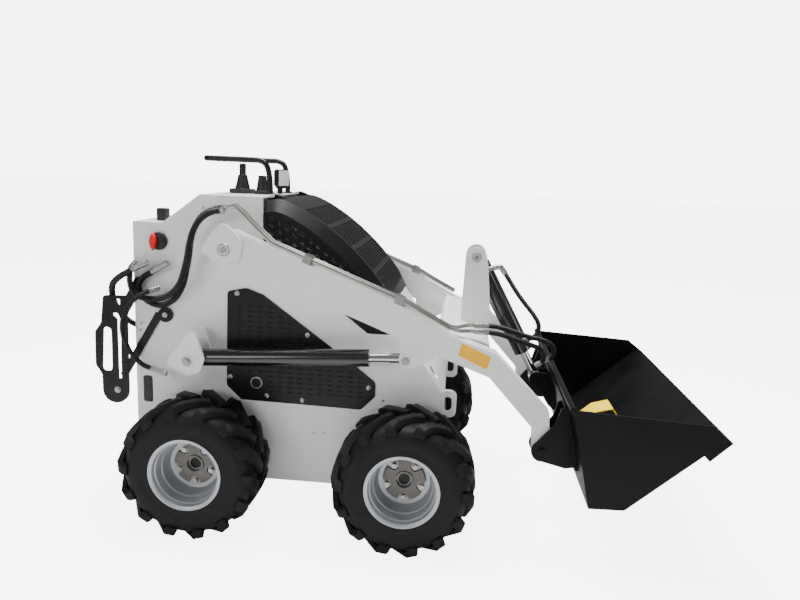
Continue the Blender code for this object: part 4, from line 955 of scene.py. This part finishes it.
lamp, lens = bmesh.new(), bmesh.new()
lamp_place = Matrix.Translation((rear_axle + 0.172, 0, 1.181)) @ Matrix.Rotation(math.radians(-27.0), 4, "Z")
dressed_block(lamp, (0.026, 0.062, 0.064), (0, 0, 0), 0.005)
dressed_block(lamp, (0.020, 0.034, 0.008), (-0.004, 0, -0.034), 0.002)
dressed_block(lamp, (0.012, 0.022, 0.022), (-0.006, 0, -0.047), 0.002)
for fin in range(5):
    dressed_block(lamp, (0.005, 0.052, 0.003), (-0.0145, 0, 0.022 - 0.011 * fin), 0.0008)
dressed_block(lens, (0.004, 0.053, 0.055), (0.0125, 0, 0), 0.0012)
fit(as_object("work_lamp", made_mesh("work_lamp", lamp, 30.0)), black_plastic, "black_plastic", "work_light")
fit(as_object("lamp_lens", made_mesh("lamp_lens", lens, 40.0)), lens_glass, "white_paint", body="chassis")


# ---- handle bar --------------------------------------------------------------------------------
# One bent round tube with a welded foot at each end, in the machine's black paint.
def smooth_route(points, gap):
    """Even points along a smooth line through the given ones."""
    points = [Vector(p) for p in points]
    fine = []
    for k in range(len(points) - 1):
        a, b = points[k], points[k + 1]
        before, after = points[max(k - 1, 0)], points[min(k + 2, len(points) - 1)]
        for n in range(24):
            t = n / 24
            fine.append(0.5 * ((2 * a) + (b - before) * t + (2 * before - 5 * a + 4 * b - after) * t * t
                               + (3 * a - before - 3 * b + after) * t ** 3))
    fine.append(points[-1])
    even, left = [fine[0]], gap
    for a, b in zip(fine, fine[1:]):
        run = (b - a).length
        while left <= run:
            even.append(a.lerp(b, left / run))
            left += gap
        left -= run
    return even


def sleeve(name, route, radius_at, sides=14):
    """A closed tube along even points, its radius given for each point and turn."""
    frames, normal = [], None
    for k, point in enumerate(route):
        run = (route[min(k + 1, len(route) - 1)] - route[max(k - 1, 0)]).normalized()
        if normal is None:
            normal = run.orthogonal().normalized()
        normal = (normal - run * normal.dot(run)).normalized()
        frames.append((point, normal, run.cross(normal)))
    points = []
    for k, (point, n, b) in enumerate(frames):
        for i in range(sides):
            turn = math.tau * i / sides
            points.append(point + (n * math.cos(turn) + b * math.sin(turn)) * radius_at(k, i / sides))
    faces = rings_of_faces(len(route), sides)[:-sides]
    faces += [tuple(reversed(range(sides))), tuple((len(route) - 1) * sides + i for i in range(sides))]
    mesh = bpy.data.meshes.new(name)
    mesh.from_pydata(points, [], faces)
    return tidy_mesh(mesh, 60.0)


bar_half = [(0.165, 0.125, 1.1235), (0.165, 0.125, 1.150), (0.163, 0.125, 1.180), (0.158, 0.125, 1.208),
            (0.148, 0.125, 1.230), (0.130, 0.125, 1.2405), (0.108, 0.125, 1.2423), (0.060, 0.125, 1.2423),
            (0.0, 0.125, 1.2423), (-0.040, 0.125, 1.2423), (-0.064, 0.118, 1.2423), (-0.074, 0.096, 1.2423),
            (-0.075, 0.050, 1.2423)]
bar_route = [(rear_axle + x, y * side, z) for side, half in ((1, bar_half), (-1, bar_half[::-1]))
             for x, y, z in half]
bar_points = smooth_route(bar_route, 0.003)
bar_radius, foot_radius = 0.0100, 0.0190


def bar_at(k, turn):
    """The bar's radius, wider over the two rings at each foot."""
    return foot_radius if k < 2 or k > len(bar_points) - 3 else bar_radius


bar = as_object("steering_bar", sleeve("bar", bar_points, bar_at, 24))
fit(bar, black_paint, "black_paint", "handle_bar")


# ---- hydraulic hoses ---------------------------------------------------------------------------
# Rubber hose in a spiral guard, swaged into ribbed zinc-plated ferrules. The two pairs at the arm
# pivots flex with the arms; each other hose moves with one body.
hose_rubber = finish("hose_rubber", (0.0060, 0.0060, 0.0065), (0.42, 0.60), (900.0, 0.00015), 0.2,
                     dust=(0.02, 0.5), specular=0.35)
ring_gap, guard_pitch = 0.0020, 4.0                # metres between rings, rings to a turn of the guard


def hose(name, node, route, radius, start, end, body=None, bend=None, mirror=False):
    """A guarded hose and its fittings; bend gives the second body and the points it bends between."""
    side = -1 if mirror else 1
    even = [Vector((rear_axle + p.x, p.y * side, p.z)) for p in smooth_route(route, ring_gap)]
    count = len(even)
    first, last = int(start / ring_gap), count - 1 - int(end / ring_gap)

    def spiral(k, turn):
        return radius - 0.0022 + 0.0030 * (0.5 + 0.5 * math.cos(math.tau * (k / guard_pitch - turn)))

    guard = as_object(name, sleeve(name, even[max(first - 2, 0):last + 3], spiral))
    metal = []
    for low, high in ((0, first), (last, count - 1)):
        if high - low < 3:
            continue
        part = even[low:high + 1]
        steps = high - low

        def swaged(k, turn):
            if not 2 < k < steps - 2:
                return radius + 0.0002
            return radius + (0.0010 if k % 5 else -0.0003)

        metal.append(as_object("ferrule", sleeve("ferrule", part, swaged, 18)))
    pieces = [(guard, hose_rubber, "hose_rubber", [node])]
    if metal:
        pieces.append((joined(f"{name}_fittings", *metal), zinc, "zinc_pipe", []))
    for piece, material, slot, nodes in pieces:
        if bend:
            piece.data.materials.append(material)
            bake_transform(piece, "chassis", bend[0], start=(rear_axle + bend[1][0], bend[1][1] * side, bend[1][2]),
                     end=(rear_axle + bend[2][0], bend[2][1] * side, bend[2][2]))
            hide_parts(*nodes)
        else:
            fit(piece, material, slot, *nodes, body=body)


arm_hose = [(0.085, -0.354, 1.086), (0.042, -0.354, 1.079), (0.003, -0.352, 1.057), (-0.023, -0.350, 1.019),
            (-0.038, -0.347, 0.976), (-0.047, -0.342, 0.923), (-0.058, -0.336, 0.880),
            (-0.069, -0.330, 0.837), (-0.089, -0.324, 0.794), (-0.118, -0.318, 0.761),
            (-0.162, -0.313, 0.742), (-0.204, -0.311, 0.752), (-0.228, -0.311, 0.776),
            (-0.238, -0.311, 0.806), (-0.222, -0.311, 0.834), (-0.190, -0.312, 0.855),
            (-0.134, -0.312, 0.889)]
return_hose = [(0.085, -0.382, 1.080), (0.040, -0.382, 1.070), (0.006, -0.380, 1.046),
               (-0.018, -0.378, 1.010), (-0.033, -0.375, 0.966), (-0.043, -0.371, 0.920),
               (-0.056, -0.366, 0.874), (-0.075, -0.358, 0.828), (-0.108, -0.347, 0.792),
               (-0.152, -0.337, 0.771), (-0.196, -0.334, 0.766), (-0.232, -0.334, 0.776),
               (-0.258, -0.324, 0.800), (-0.268, -0.314, 0.832), (-0.264, -0.311, 0.862),
               (-0.244, -0.309, 0.886)]
supply_hose = [(-0.196, -0.322, 0.891), (-0.236, -0.333, 0.871), (-0.282, -0.333, 0.844),
               (-0.322, -0.314, 0.816), (-0.347, -0.284, 0.786), (-0.356, -0.260, 0.744),
               (-0.347, -0.241, 0.698), (-0.318, -0.228, 0.662), (-0.286, -0.222, 0.644),
               (-0.269, -0.220, 0.640)]
lift_hose = [(-0.160, -0.324, 0.805), (-0.192, -0.350, 0.793), (-0.226, -0.362, 0.772),
             (-0.258, -0.356, 0.742), (-0.280, -0.344, 0.700), (-0.290, -0.334, 0.650),
             (-0.278, -0.330, 0.600), (-0.254, -0.332, 0.562), (-0.220, -0.336, 0.536),
             (-0.176, -0.342, 0.522), (-0.128, -0.350, 0.512)]
tool_hose = [(0.905, -0.286, 0.731), (0.940, -0.276, 0.730), (0.980, -0.252, 0.723), (1.028, -0.222, 0.707),
             (1.081, -0.190, 0.685), (1.130, -0.165, 0.670), (1.168, -0.142, 0.655), (1.192, -0.124, 0.634),
             (1.198, -0.112, 0.608), (1.188, -0.100, 0.585), (1.164, -0.086, 0.570)]
tool_return_hose = [(0.905, -0.306, 0.716), (0.945, -0.298, 0.713), (0.997, -0.262, 0.700),
                    (1.050, -0.222, 0.676), (1.098, -0.188, 0.655), (1.140, -0.160, 0.634),
                    (1.160, -0.140, 0.606), (1.158, -0.124, 0.578), (1.138, -0.108, 0.560)]
tilt_hose = [(1.006, -0.030, 0.884), (1.026, -0.034, 0.856), (1.050, -0.040, 0.821), (1.072, -0.045, 0.792),
             (1.096, -0.050, 0.764), (1.122, -0.056, 0.734), (1.142, -0.060, 0.702), (1.142, -0.062, 0.672),
             (1.124, -0.062, 0.648), (1.096, -0.062, 0.640)]
pivot_bend = ("lift_arms", (-0.060, -0.345, 0.840), (0.060, -0.365, 1.085))
paired_hoses = (("arm_hose", arm_hose, 0.0105, 0.010, 0.066, {"bend": pivot_bend}),
                ("return_hose", return_hose, 0.0105, 0.010, 0.030, {"bend": pivot_bend}),
                ("supply_hose", supply_hose, 0.0105, 0.060, 0.010, {"body": "chassis"}),
                ("lift_hose", lift_hose, 0.0090, 0.036, 0.060, {"body": "chassis"}))
for side, mirror in (("right", False), ("left", True)):
    for label, route, radius, start, end, carried in paired_hoses:
        hose(f"{label}_guard_{side}", f"{label}_{side}", route, radius, start, end, mirror=mirror, **carried)
hose("tool_hose_guard", "tool_hose", tool_hose, 0.0088, 0.050, 0.030, body="lift_arms")
hose("tool_return_hose_guard", "tool_return_hose", tool_return_hose, 0.0088, 0.050, 0.030, body="lift_arms")
hose("tilt_hose_guard", "tilt_hose", tilt_hose, 0.0095, 0.014, 0.014, body="lift_arms")
elbow = [(rear_axle + x, -0.030, z) for x, z in (
    (0.952, 0.884), (0.968, 0.892), (0.984, 0.897), (0.998, 0.894), (1.008, 0.881))]
elbow_mesh = sleeve("elbow", smooth_route(elbow, 0.003), lambda k, turn: 0.0105 if k % 6 else 0.0085, 18)
fit(as_object("tilt_port_elbow", elbow_mesh), zinc, "zinc_pipe", body="lift_arms")
pipe_ends = [[(0.826, -0.354, 0.739), (0.850, -0.347, 0.735), (0.880, -0.305, 0.733), (0.908, -0.285, 0.731)],
             [(0.826, -0.382, 0.739), (0.852, -0.374, 0.729), (0.882, -0.325, 0.719), (0.908, -0.305, 0.716)]]
pipe_tails = []
for ends in pipe_ends:
    tail = smooth_route([(rear_axle + x, y, z) for x, y, z in ends], 0.004)
    pipe_tails.append(as_object("pipe_tail", sleeve("pipe_tail", tail, lambda k, turn: 0.0062, 16)))
fit(joined("tool_pipe_tails", *pipe_tails), zinc, "zinc_pipe", body="lift_arms")
